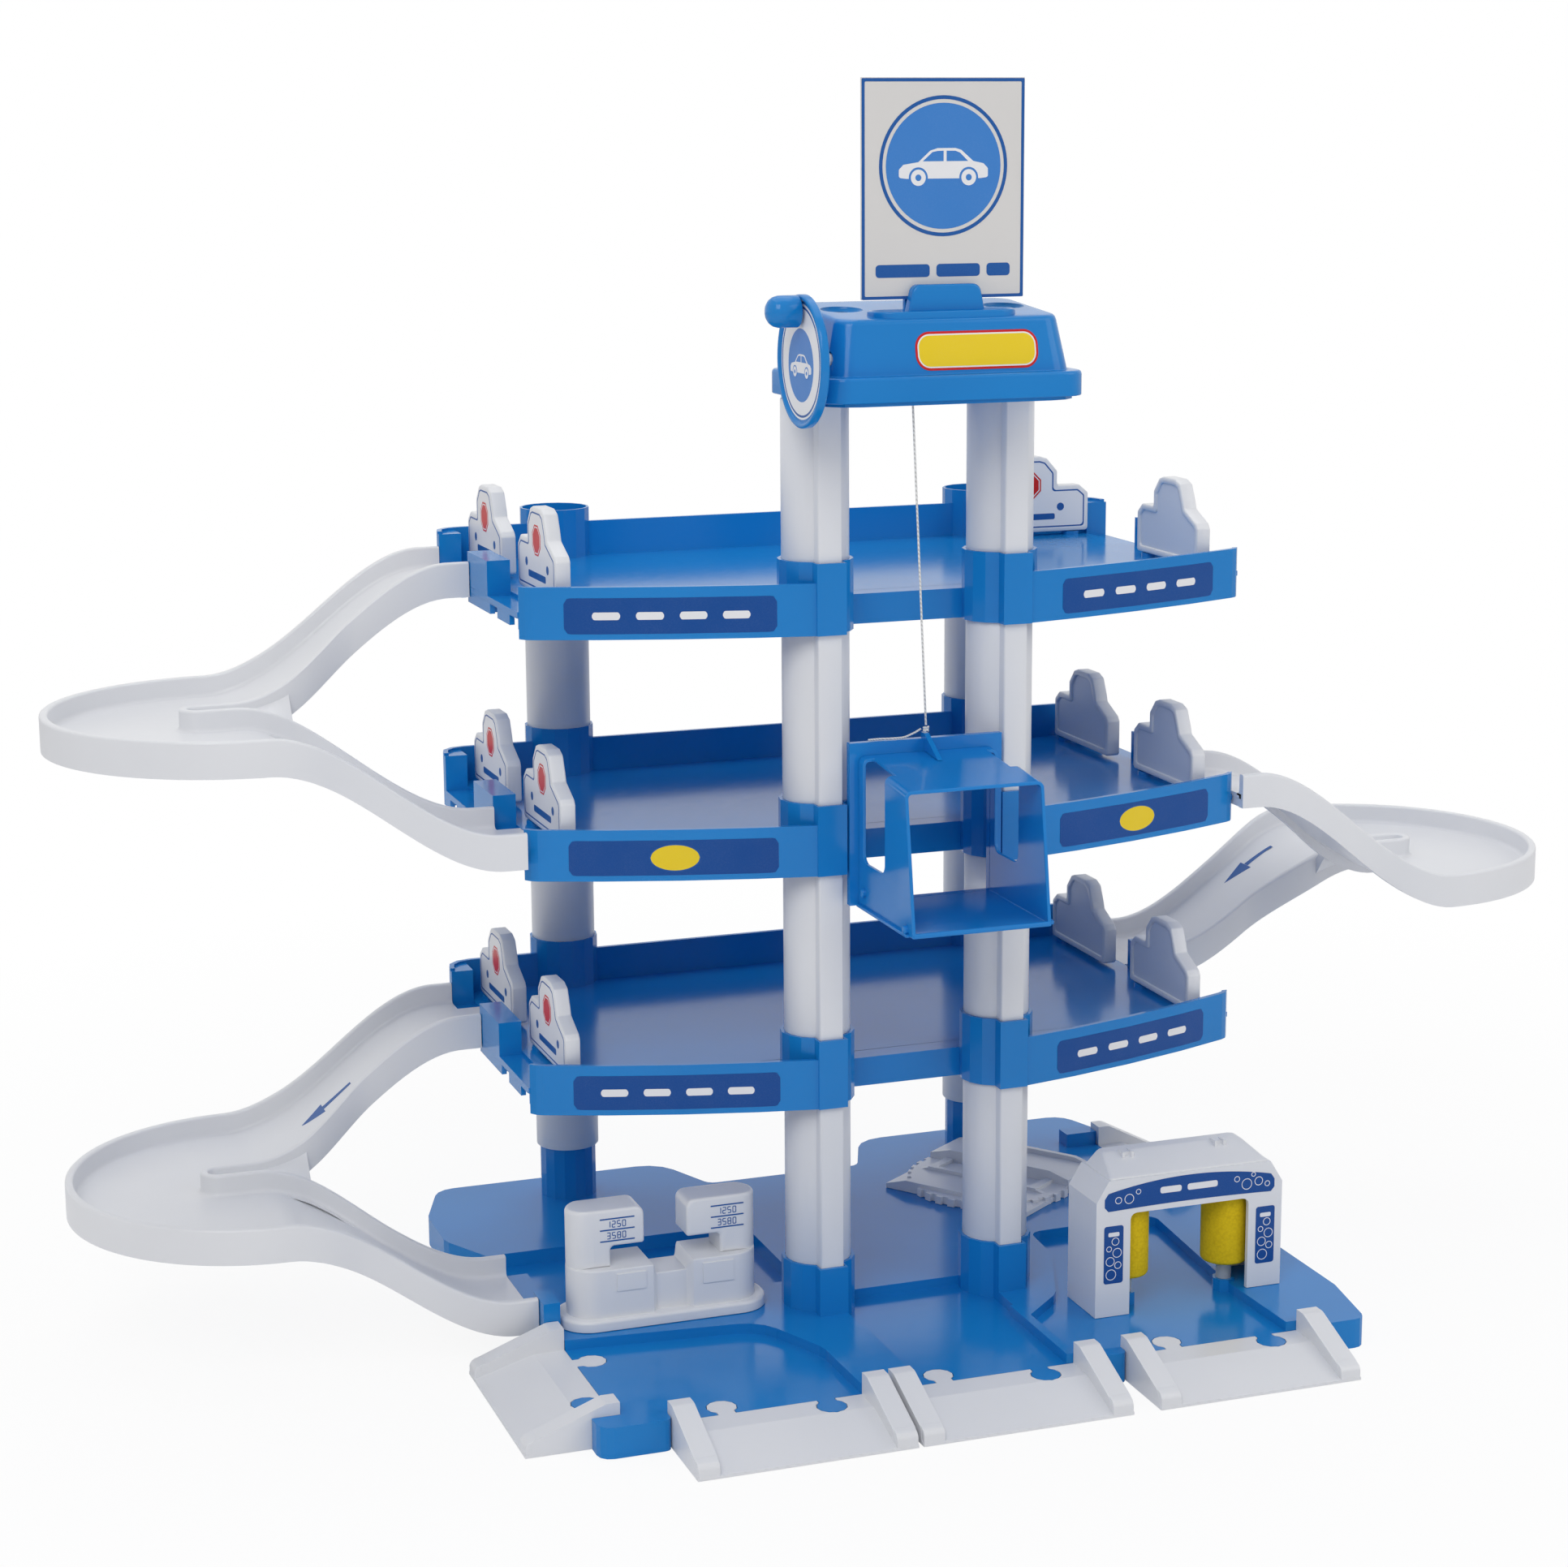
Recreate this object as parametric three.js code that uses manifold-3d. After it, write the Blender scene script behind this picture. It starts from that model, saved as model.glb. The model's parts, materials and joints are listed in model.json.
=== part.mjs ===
// Toy parking garage: three blue decks on hollow white columns, joined by white loop ramps,
// over a base with puzzle-edged entrance ramps, a fuel island, a car wash and a crank-driven lift.
// X runs along the decks, Y from the front to the back, Z up from the floor.
import * as THREE from "three";
import { mergeVertices } from "three/addons/utils/BufferGeometryUtils.js";
import Module from "manifold-3d";

const wasm = await Module();
wasm.setup();

// Driving dimensions, in millimetres. Places count from the shaft's centre in X, from the
// front clamps' face in Y and from the floor in Z, until the whole group is centred at the end.
const levelRise = 140; // deck to deck
const firstDeck = 146; // floor to the lowest deck's underside
const halfLength = 227; // shaft centre to a deck's end
const deckDepth = 265; // front clamps to the back wall
const fit = 0.3; // left between two pieces that touch
const bearing = 0.3; // left round a pin that turns
const overrun = 1; // a cut passes this far beyond what it cuts
const weld = 0.001; // edges closer to straight than this are joined
const shaftTop = firstDeck + 3 * levelRise; // where a fourth deck's underside would be
const shaft = { halfWidth: 48.5, depth: 36 };
const frontColumn = { x: 57.4, y: 28, radius: 19.6, bore: 17.6, stripHalf: 7.35, stripFront: 2.8 };
const backColumn = { fromEnd: 82, pastWall: 6, radius: 20.3, bore: 17.6 };
backColumn.x = halfLength - backColumn.fromEnd;
backColumn.y = deckDepth + backColumn.pastWall;
const clamp = { outerX: 66.3, depth: 30, top: 41.2, socket: 20, sleeve: 22 };
const collar = { top: 48, socket: 20, radius: 22 };
const footSocket = 7; // a column's top goes this far into the deck above
const deck = {
  floorTop: 17.5,
  slab: 2.5,
  wall: 3,
  lipTop: 15.4,
  lip: 3,
  skirtFoot: 5.6,
  wallTop: 39,
  panelTop: 30,
  endWall: 14,
  backRadius: 17,
  frontRadius: 11,
  frontCorner: 50,
  panelInner: 58.8,
  bow: 5,
  postTop: 36,
  cornerPostTop: 37.5,
};
// The gates in a deck's end, as shares of the way between its front and back corners.
const gateFrontShare = [0, 0.3617];
const gateBackShare = [0.6117, 1];
const gate = { fromFront: 4, fromBack: 23, notchWidth: 17, notchTop: 11.6 };
const gateRoom = [deck.frontCorner + gate.fromFront, deckDepth - gate.fromBack];
gate.front = gateFrontShare.map((share) => THREE.MathUtils.lerp(...gateRoom, share));
gate.back = gateBackShare.map((share) => THREE.MathUtils.lerp(...gateRoom, share));
const barrier = {
  lap: 15,
  height: 50,
  thickness: 9,
  heel: 11,
  lift: 2.5,
  corner: 2.5,
  recess: 1.2,
  rim: 4,
  pin: 2.5,
  pinLength: 5,
  fromEnd: 26,
  hinge: { front: -1, back: 0.5 },
  boss: 6,
};
barrier.length = gate.front[1] - gate.front[0] + barrier.lap;
barrier.x = halfLength - barrier.fromEnd;
barrier.frontPivot = gate.front[1] + barrier.hinge.front;
barrier.backPivot = gate.back[1] + barrier.hinge.back;
// A loop's lengths along X count from the deck's end.
const loop = {
  axisShift: 4.8,
  innerLap: 4.8,
  outerLap: 3.7,
  wall: 5,
  wallRise: 12.6,
  skirt: 8.4,
  slab: 3,
  turnMiddle: 145.4,
  turnBulge: 9.5,
  blend: 120,
  lead: 13,
  run: 134,
  turnFloor: 84,
  deckGap: 0.5,
  ease: [69, 118],
  crotch: 114,
  noseStraight: 168,
  noseHalf: 8.5,
  pocket: 5,
  endWeb: 3,
  tongueInset: [10, 19.5],
  peg: { inset: [14, 22.5], width: 13, height: 2.2, length: 9 },
};
loop.axisY = (gate.front[0] + gate.back[1]) / 2 - loop.axisShift;
loop.laneInner = gate.back[0] - loop.axisY - loop.innerLap;
loop.laneOuter = gate.back[1] - loop.axisY + loop.outerLap;
loop.turnX = halfLength + loop.turnMiddle;
loop.turnRadius = loop.laneOuter + loop.turnBulge;
loop.tongue = [loop.laneInner + loop.tongueInset[0], loop.laneOuter - loop.tongueInset[1]];
loop.peg.offsets = [loop.laneInner + loop.peg.inset[0], loop.laneOuter - loop.peg.inset[1]];
const base = {
  plateau: 18,
  bay: 12,
  lane: 9,
  slab: 3,
  wall: 3,
  margin: 10.5,
  nub: { left: 41.4, right: 27.4 },
  leftGap: 6.5,
  sideSeamInset: 8.6,
  rightSeamInset: 3,
  rightRampBack: 82.3,
  lobe: 37.4,
  notchInset: 13,
  lobeInner: 73,
  notchHalf: 53,
  bulge: 18,
  socketTop: 47,
  socket: 17,
  stub: 18.3,
  stubTop: 52,
  stubPin: 10,
  mouthPost: 36,
  mouthPostWidth: 22.7,
  mouthPostDepth: 10,
  corner: 8,
  laneFront: 17,
  rib: [46.5, 52],
  ledge: 35,
  bossWidth: 22,
  bossLap: [-9.3, 3.7],
  bossTop: 27,
};
// The sunk bays: shares of the way from the lift's lane to the deck's end, then of the apron in
// front of the clamps or of the deck's depth behind them, and corners rounded in base corners.
const bayLeftShares = [
  [0.957, -0.81],
  [0.806, -0.81, 1],
  [0.735, -0.9],
  [0.735, -1.01],
  [0.157, -1.01],
  [0.166, -0.437, 2],
  [0.287, 0.02, 3],
  [0.957, 0.065],
];
const bayWashShares = [
  [0, -1.01],
  [0.777, -1.01],
  [0.767, -0.31],
  [0.829, 0.347, 1],
  [0.325, 0.34, 1],
  [0.309, 0.19, 2],
  [0.163, -0.13, 2],
  [0, -0.386],
];
const entrance = {
  width: 127.2,
  length: 54.3,
  curb: 13,
  curbTop: 25,
  curbFlat: 8,
  curbNose: 9,
  curbEnd: 4,
  tip: 1.6,
  flat: 18.5,
  wall: 3,
  pairGap: 2.8,
  bayGap: 16.8,
  knobOffset: 29,
  knobReach: 10,
  knobRadius: 8.5,
  knobNeck: 5,
  knobPlay: 0.5,
};
// The apron is as deep as the left ramp and its place beside the loop's mouth need.
base.apron = entrance.width + base.leftGap + 2 * fit + base.mouthPostWidth - gate.front[0];
base.leftRampY = entrance.width / 2 + base.leftGap - base.apron;
base.rightRampY = deckDepth - base.rightRampBack;
base.sideSeam = halfLength - base.sideSeamInset;
base.rightSeam = halfLength - base.rightSeamInset;
const island = {
  fromEnd: 11,
  fromClamp: 8.8,
  y: [21, 63],
  plinth: 7,
  stepX: 6,
  stepY: 4,
  bodyTop: 54.6,
  saddleTop: 47.6,
  saddleShift: 3,
  saddleHalf: 10.5,
  columnInset: 6,
  columnWidth: 24,
  headGap: 26.2,
  headTop: 89.6,
  headFoot: 67,
  headChamfer: 7,
  headRadius: 5,
  pumpHalf: 12,
};
island.x = [-halfLength + island.fromEnd, -frontColumn.x - clamp.sleeve - island.fromClamp];
const wash = {
  fromEnd: 12.8,
  width: 123.2,
  y: [-46.2, -7],
  wall: 3,
  leg: 22.4,
  shoulder: 84,
  lintel: 75.6,
  top: 97,
  shoulderIn: 8,
  roofTop: 113,
  roofIn: 14,
  roofStep: 6,
  roofY: [-42, -11],
  rollerRadius: 14.5,
  rollerX: 28,
  rollerFoot: 26,
  rollerTop: 86,
  shaftRadius: 3.5,
  bossRadius: 7,
  bossTop: 19.6,
  bossFloor: 2,
};
wash.x = [halfLength - wash.fromEnd - wash.width, halfLength - wash.fromEnd];
const rack = {
  fromEnd: 103.6,
  fromWall: 79,
  turn: -0.3 * Math.PI,
  radius: 56,
  disc: 5,
  teeth: 36,
  toothDepth: 2.4,
  half: 53.5,
  width: 93,
  track: 37,
  frontTop: 7.5,
  backTop: 13,
  channel: 3,
  rail: 3.5,
  ramp: 15,
  frontTip: 3,
  backTip: 9,
  bar: 6,
  barInset: 12,
};
// Heights of the head, its winch and its sign count from the shaft's top.
const head = {
  rimHalf: 78.4,
  rimFront: -49,
  rimBack: 53.2,
  rimFoot: -5.3,
  rimTop: 8.7,
  rimRadius: 21,
  rimStep: 7,
  shoulder: 38.8,
  shoulderIn: 6.3,
  crown: 45,
  crownIn: 12,
  wall: 2.5,
  trayFoot: -7.4,
  trayTop: -4,
  dimpleX: 49,
  dimpleY: 6,
  dimpleRadius: 12,
  dimpleDepth: 4,
  bearingX: [-50, 46],
  bearingWidth: 4,
  bearingHalf: 7,
};
const winch = { y: -28, z: 17.1, axle: 4, drum: 5, drumHalf: 26, innerEnd: 54, cordRadius: 0.6 };
const crank = {
  discX: 81.9,
  thickness: 4.9,
  radius: 36.4,
  rim: 3,
  rimRise: 1.4,
  knobOffset: 27.3,
  knobRadius: 8.8,
  knobLength: 18.6,
  knobPin: 3,
};
const sign = {
  halfWidth: 48.25,
  height: 119.3,
  thickness: 1.5,
  y: -22.4,
  holderRadius: 39,
  holderY: -18.2,
  holder: 3.7,
  tabHalf: 21.6,
  tabHeight: 8.2,
  tabSlant: 1.6,
  tab: 2,
};
// Heights on the lift count from its foot, which hangs a little below the middle deck.
const lift = {
  hang: 18.6,
  halfWidth: 42,
  wall: 2,
  roofBack: 88.2,
  roofFront: 81.2,
  roofReach: 73,
  floorReach: 85.4,
  backFront: 1,
  frameBack: 4,
  frameHalf: 47.3,
  frameTop: 95.6,
  frameLeg: 40,
  window: [-42, -7],
  windowFoot: 28,
  windowTop: 79.6,
  windowCut: 14,
  lug: 3,
  lugTop: 98.6,
  lugReach: 22,
};
lift.foot = firstDeck + levelRise - lift.hang;
const cord = { knot: 2, slant: -23.5 };
// The string's loose end: places along the portal's top in X and Y, and heights above it.
const tailPath = [
  [-2.6, 1.2, 4.4],
  [-6, 1.6, 2.5],
  [-10, 2.2, 0.7],
  [-14, 1.4, 0],
  [-19, 0.9, 0],
  [-24, 1.6, 0],
  [-29, 2.2, 0],
  [-35, 1.5, 0],
];
const cordSides = 6;
const roundSides = 16;
const pinSides = 8;
const knobSides = 12;
const arcStep = Math.PI / 6;

const floorOf = (level) => firstDeck + level * levelRise;
const blue = new THREE.MeshStandardMaterial({ color: 0x1e7fd2, roughness: 0.22, metalness: 0 });
const brightBlue = new THREE.MeshStandardMaterial({ color: 0x2b93e0, roughness: 0.2, metalness: 0 });
const white = new THREE.MeshStandardMaterial({ color: 0xe6e7ec, roughness: 0.4, metalness: 0 });
const yellow = new THREE.MeshStandardMaterial({ color: 0xe8cf1c, roughness: 0.75, metalness: 0 });
const card = new THREE.MeshStandardMaterial({ color: 0xeef0f2, roughness: 0.5, metalness: 0 });
const twine = new THREE.MeshStandardMaterial({ color: 0xf2f2f0, roughness: 0.9, metalness: 0 });

// A geometry as a solid that can be joined and cut.
function toSolid(geometry) {
  const bare = new THREE.BufferGeometry();
  bare.setAttribute("position", geometry.getAttribute("position"));
  bare.setIndex(geometry.index);
  const merged = mergeVertices(bare);
  const mesh = new wasm.Mesh({
    numProp: 3,
    vertProperties: merged.getAttribute("position").array,
    triVerts: new Uint32Array(merged.index.array),
  });
  return new wasm.Manifold(mesh);
}

function join(...solids) {
  return solids.reduce((whole, solid) => whole.add(solid));
}

function cut(solid, ...tools) {
  return tools.reduce((rest, tool) => rest.subtract(tool), solid);
}

function toGeometry(solid) {
  const mesh = solid.asOriginal().simplify(weld).getMesh();
  const geometry = new THREE.BufferGeometry();
  geometry.setAttribute("position", new THREE.BufferAttribute(mesh.vertProperties, mesh.numProp));
  geometry.setIndex(new THREE.BufferAttribute(mesh.triVerts, 1));
  const faceted = geometry.toNonIndexed();
  faceted.computeVertexNormals();
  return faceted;
}

const middle = ([low, high]) => (low + high) / 2;
const span = ([low, high]) => high - low;
const mirrored = ([low, high], side) => (side < 0 ? [-high, -low] : [low, high]);
const grown = ([low, high], by) => [low - by, high + by];

function block(x, y, z) {
  const box = new THREE.BoxGeometry(span(x), span(y), span(z));
  return toSolid(box.translate(middle(x), middle(y), middle(z)));
}

function rod(radius, z, x = 0, y = 0, sides = roundSides) {
  const cylinder = new THREE.CylinderGeometry(radius, radius, span(z), sides);
  return toSolid(cylinder.rotateX(Math.PI / 2).translate(x, y, middle(z)));
}

function rodAlongX(radius, x, y = 0, z = 0, sides = roundSides) {
  const cylinder = new THREE.CylinderGeometry(radius, radius, span(x), sides);
  return toSolid(cylinder.rotateZ(Math.PI / 2).translate(middle(x), y, z));
}

function extruded(points, depth) {
  return new THREE.ExtrudeGeometry(new THREE.Shape(points), { depth, bevelEnabled: false });
}

// A plan outline raised from one height to another.
function prism(points, z) {
  return toSolid(extruded(points, span(z)).translate(0, 0, z[0]));
}

// An outline in X and Z carried along Y.
function prismAlongY(points, y) {
  return toSolid(extruded(points, span(y)).rotateX(Math.PI / 2).translate(0, y[1], 0));
}

// An outline in Y and Z carried along X.
function prismAlongX(points, x) {
  const turned = new THREE.Matrix4().makeBasis(
    new THREE.Vector3(0, 1, 0),
    new THREE.Vector3(0, 0, 1),
    new THREE.Vector3(1, 0, 0),
  );
  return toSolid(extruded(points, span(x)).applyMatrix4(turned).translate(x[0], 0, 0));
}

// Corners given as x, y and an optional radius, with the round ones turned into arcs.
function outline(corners) {
  const points = [];
  corners.forEach(([x, y, radius = 0], i) => {
    const corner = new THREE.Vector2(x, y);
    if (!radius) {
      points.push(corner);
      return;
    }
    const [lastX, lastY] = corners[(i + corners.length - 1) % corners.length];
    const [nextX, nextY] = corners[(i + 1) % corners.length];
    const toLast = new THREE.Vector2(lastX, lastY).sub(corner).normalize();
    const toNext = new THREE.Vector2(nextX, nextY).sub(corner).normalize();
    const half = Math.acos(toLast.dot(toNext)) / 2;
    const centre = toLast.clone().add(toNext).setLength(radius / Math.sin(half)).add(corner);
    const start = toLast.clone().multiplyScalar(radius / Math.tan(half)).add(corner).sub(centre);
    const sweep = (Math.PI - 2 * half) * -Math.sign(toLast.cross(toNext));
    const steps = Math.max(1, Math.ceil(Math.abs(sweep) / arcStep));
    for (let step = 0; step <= steps; step += 1) {
      points.push(start.clone().rotateAround(new THREE.Vector2(), (sweep * step) / steps).add(centre));
    }
  });
  return points;
}

// An anticlockwise outline moved inwards.
function inset(points, distance) {
  return points.map((point, i) => {
    const before = point.clone().sub(points[(i + points.length - 1) % points.length]).normalize();
    const after = points[(i + 1) % points.length].clone().sub(point).normalize();
    const inward = new THREE.Vector2(-before.y - after.y, before.x + after.x).normalize();
    const slant = inward.x * -after.y + inward.y * after.x;
    return point.clone().add(inward.multiplyScalar(distance / slant));
  });
}

function roundedBox(x, y, radius) {
  return outline([
    [x[0], y[0], radius],
    [x[1], y[0], radius],
    [x[1], y[1], radius],
    [x[0], y[1], radius],
  ]);
}

// A solid through rings of as many points each, its two ends closed; the rings are convex.
function skin(rings) {
  const count = rings[0].length;
  const positions = rings.flat().flatMap((point) => point.toArray());
  const faces = [];
  for (let ring = 0; ring + 1 < rings.length; ring += 1) {
    for (let i = 0; i < count; i += 1) {
      const next = (i + 1) % count;
      const low = ring * count;
      const high = low + count;
      faces.push(low + i, low + next, high + next, low + i, high + next, high + i);
    }
  }
  const last = (rings.length - 1) * count;
  for (let i = 1; i + 1 < count; i += 1) {
    faces.push(0, i + 1, i, last, last + i, last + i + 1);
  }
  const geometry = new THREE.BufferGeometry();
  geometry.setAttribute("position", new THREE.Float32BufferAttribute(positions, 3));
  geometry.setIndex(faces);
  return toSolid(geometry);
}

function atHeight(points, z) {
  return points.map((point) => new THREE.Vector3(point.x, point.y, z));
}

// A wall that stands on a plan path: each station has a place, a foot and a top.
function standingWall(stations, thickness) {
  const rings = stations.map(({ x, y, foot, top }, i) => {
    const before = stations[Math.max(0, i - 1)];
    const after = stations[Math.min(stations.length - 1, i + 1)];
    const along = new THREE.Vector2(after.x - before.x, after.y - before.y).normalize();
    const side = new THREE.Vector2(along.y, -along.x).multiplyScalar(thickness / 2);
    return [
      new THREE.Vector3(x - side.x, y - side.y, foot),
      new THREE.Vector3(x - side.x, y - side.y, top),
      new THREE.Vector3(x + side.x, y + side.y, top),
      new THREE.Vector3(x + side.x, y + side.y, foot),
    ];
  });
  return skin(rings);
}

// The front columns' section: a round tube with a square strip on its front.
function columnSection(z, play = 0) {
  const half = frontColumn.stripHalf + play;
  const front = frontColumn.stripFront - frontColumn.y - play;
  return join(rod(frontColumn.radius + play, z), block([-half, half], [front, 0], z));
}

// The deck's outer outline, and the pieces that stand on it.
function deckOutline() {
  const bowSteps = 4;
  const side = [[halfLength, deckDepth, deck.backRadius], [halfLength, deck.frontCorner, deck.frontRadius]];
  for (let step = 1; step < bowSteps; step += 1) {
    const share = step / bowSteps;
    side.push([
      THREE.MathUtils.lerp(halfLength, deck.panelInner, share),
      THREE.MathUtils.lerp(deck.frontCorner, 0, share) - deck.bow * 4 * share * (1 - share),
    ]);
  }
  side.push([deck.panelInner, 0], [shaft.halfWidth, 0], [shaft.halfWidth, shaft.depth]);
  const left = side.map(([x, y, radius]) => [-x, y, radius]);
  return outline([...left, ...side.reverse()]);
}

const deckOuter = deckOutline();
const deckInner = inset(deckOuter, deck.wall);

// The band of the deck's outer wall between two heights, within a box.
function deckBand(z, x, y) {
  const ring = cut(prism(deckOuter, z), prism(deckInner, grown(z, overrun)));
  return ring.intersect(block(x, y, z));
}

function clampBody(x, z) {
  const face = mirrored([shaft.halfWidth, clamp.outerX], Math.sign(x));
  return join(rod(clamp.sleeve, z, x, frontColumn.y), block(face, [0, clamp.depth], z));
}

function placedSection(x, z, play) {
  const half = frontColumn.stripHalf + play;
  const front = frontColumn.stripFront - play;
  return join(
    rod(frontColumn.radius + play, z, x, frontColumn.y),
    block([x - half, x + half], [front, frontColumn.y], z),
  );
}

// The hollow under a post, open below.
function postHollow(x, y, z) {
  return block(grown(x, -deck.wall), grown(y, -deck.wall), [z[0] - overrun, z[1] - deck.wall]);
}

function deckSolid() {
  const everyX = [-halfLength, halfLength];
  const slabFoot = deck.floorTop - deck.slab;
  const pieces = [prism(deckOuter, [slabFoot, deck.floorTop])];
  pieces.push(deckBand([deck.skirtFoot, slabFoot + deck.wall / 2], everyX, [deck.frontCorner, deckDepth]));
  const backY = [deckDepth - deck.backRadius - deck.wall, deckDepth];
  pieces.push(deckBand([slabFoot, deck.wallTop], everyX, backY));
  pieces.push(deckBand([0, deck.floorTop], [-shaft.halfWidth, shaft.halfWidth], [0, deck.frontCorner]));
  const cuts = [];
  for (const side of [-1, 1]) {
    const along = (range) => mirrored(range, side);
    const endWall = along([halfLength - deck.endWall, halfLength]);
    const panelX = along([shaft.halfWidth, halfLength]);
    pieces.push(deckBand([0, deck.panelTop], panelX, [-deck.bow, gate.front[0]]));
    const post = [endWall, [gate.front[1], gate.back[0]], [deck.skirtFoot, deck.postTop]];
    pieces.push(block(...post));
    cuts.push(postHollow(...post));
    const corner = block(endWall, [gate.back[1], deckDepth], [deck.skirtFoot, deck.cornerPostTop]);
    pieces.push(corner.intersect(prism(deckOuter, [deck.skirtFoot, deck.cornerPostTop])));
    for (const range of [gate.front, gate.back]) {
      pieces.push(block(endWall, range, [deck.lipTop - deck.lip, deck.lipTop]));
      const opening = along([halfLength - deck.endWall, halfLength + overrun]);
      cuts.push(block(opening, range, [deck.lipTop, deck.wallTop]));
    }
    for (const offset of loop.peg.offsets.flatMap((value) => [-value, value])) {
      const y = loop.axisY + offset;
      const notch = [y - gate.notchWidth / 2, y + gate.notchWidth / 2];
      const skirtX = along([halfLength - deck.wall - overrun, halfLength + overrun]);
      cuts.push(block(skirtX, notch, [deck.skirtFoot - overrun, gate.notchTop]));
    }
    for (const pivot of [barrier.frontPivot, barrier.backPivot]) {
      const bossTop = deck.floorTop + barrier.lift - fit;
      pieces.push(rod(barrier.boss, [slabFoot, bossTop], side * barrier.x, pivot, pinSides));
      const hole = [slabFoot - overrun, bossTop + overrun];
      cuts.push(rod(barrier.pin + bearing, hole, side * barrier.x, pivot, pinSides));
    }
    pieces.push(clampBody(side * frontColumn.x, [0, clamp.top]));
    const socket = [clamp.top - clamp.socket, clamp.top + overrun];
    cuts.push(placedSection(side * frontColumn.x, socket, fit));
    pieces.push(rod(collar.radius, [deck.skirtFoot, collar.top], side * backColumn.x, backColumn.y));
    const backSocket = [collar.top - collar.socket, collar.top + overrun];
    cuts.push(rod(backColumn.radius + fit, backSocket, side * backColumn.x, backColumn.y));
    cuts.push(placedSection(side * frontColumn.x, [-overrun, footSocket], fit));
    const backFoot = [deck.skirtFoot - overrun, deck.skirtFoot + footSocket];
    cuts.push(rod(backColumn.radius + fit, backFoot, side * backColumn.x, backColumn.y));
  }
  return cut(join(...pieces), ...cuts);
}

function frontColumnSolid(height) {
  return cut(columnSection([0, height]), rod(frontColumn.bore, grown([0, height], overrun)));
}

function backColumnSolid(height) {
  const range = [0, height];
  return cut(rod(backColumn.radius, range), rod(backColumn.bore, grown(range, overrun)));
}

// A gate barrier that lies along -Y from its pin, its plain inner face towards the deck.
function barrierSolid(side) {
  const shares = [
    [0, 0],
    [0, 0.5],
    [0.08, 0.61],
    [0.27, 0.61],
    [0.27, 0.8],
    [0.36, 0.97],
    [0.42, 1],
    [0.62, 1],
    [0.7, 0.95],
    [0.76, 0.75],
    [0.78, 0.66],
    [0.97, 0.52],
    [1, 0.46],
    [1, 0],
  ];
  const shape = shares.map(
    ([along, up]) => new THREE.Vector2(barrier.heel - along * barrier.length, up * barrier.height),
  );
  const half = barrier.thickness / 2;
  const body = prismAlongX(shape, [-half, half]);
  const innerFace = mirrored([half - barrier.recess, half + overrun], -side);
  const recess = prismAlongX(inset(shape, barrier.rim), innerFace);
  const ends = [barrier.heel - barrier.length, barrier.heel];
  const rounded = prism(roundedBox([-half, half], ends, barrier.corner), [0, barrier.height]);
  const pin = rod(barrier.pin, [-barrier.pinLength, barrier.corner], 0, 0, pinSides);
  return join(cut(body, recess).intersect(rounded), pin);
}

// How far the loop's floor stands above the low end's deck underside, from the shaft centre's distance.
function loopFloor(distance, isHigh) {
  const rest = deck.floorTop + (isHigh ? levelRise : 0);
  const start = halfLength + loop.lead;
  const share = THREE.MathUtils.smoothstep(distance, start, start + loop.run);
  return THREE.MathUtils.lerp(rest, loop.turnFloor, share);
}

// The loop's outer wall runs along the high lane, round the turn and back along the low lane.
function loopOuterPath(inward) {
  const line = loop.laneOuter - inward;
  const round = loop.turnRadius - inward;
  const blend = loop.blend + inward;
  const reach = Math.sqrt((round + blend) ** 2 - (line + blend) ** 2);
  const blendAngle = Math.asin(reach / (round + blend));
  const laneEnd = loop.turnX - reach;
  const half = [];
  const laneSteps = 5;
  const laneStart = halfLength + loop.deckGap;
  for (let step = 0; step < laneSteps; step += 1) {
    half.push([THREE.MathUtils.lerp(laneStart, laneEnd, step / laneSteps), line]);
  }
  const blendSteps = 3;
  for (let step = 0; step < blendSteps; step += 1) {
    const angle = (blendAngle * step) / blendSteps;
    half.push([laneEnd + blend * Math.sin(angle), line + blend * (1 - Math.cos(angle))]);
  }
  const turnSteps = 8;
  for (let step = 0; step <= turnSteps; step += 1) {
    const angle = THREE.MathUtils.lerp(-blendAngle, Math.PI / 2, step / turnSteps);
    half.push([loop.turnX + round * Math.sin(angle), round * Math.cos(angle)]);
  }
  const back = half.slice(0, -1).reverse().map(([x, offset]) => [x, -offset]);
  return [...half, ...back];
}

// The inner wall runs along the high lane, narrows to the nose, goes round its tip and back.
function loopInnerPath() {
  const line = loop.laneInner + loop.wall / 2;
  const laneSteps = 4;
  const easeSteps = 5;
  const tipSteps = 3;
  const laneStart = halfLength + loop.deckGap;
  const [easeStart, easeEnd] = loop.ease.map((length) => halfLength + length);
  const tipX = halfLength + loop.noseStraight;
  const half = [];
  for (let step = 0; step < laneSteps; step += 1) {
    half.push([THREE.MathUtils.lerp(laneStart, easeStart, step / laneSteps), line]);
  }
  for (let step = 0; step <= easeSteps; step += 1) {
    const share = step / easeSteps;
    const eased = THREE.MathUtils.smoothstep(share, 0, 1);
    half.push([
      THREE.MathUtils.lerp(easeStart, easeEnd, share),
      THREE.MathUtils.lerp(line, loop.noseHalf, eased),
    ]);
  }
  half.push([(easeEnd + tipX) / 2, loop.noseHalf]);
  for (let step = 0; step <= tipSteps; step += 1) {
    const angle = (Math.PI / 2) * (step / tipSteps);
    half.push([tipX + loop.noseHalf * Math.sin(angle), loop.noseHalf * Math.cos(angle)]);
  }
  const back = half.slice(0, -1).reverse().map(([x, offset]) => [x, -offset]);
  return [...half, ...back];
}

function loopWall(path) {
  const stations = path.map(([distance, offset]) => {
    const floor = loopFloor(distance, offset > 0);
    return { x: -distance, y: offset, foot: floor - loop.skirt, top: floor + loop.wallRise };
  });
  return standingWall(stations, loop.wall);
}

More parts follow.
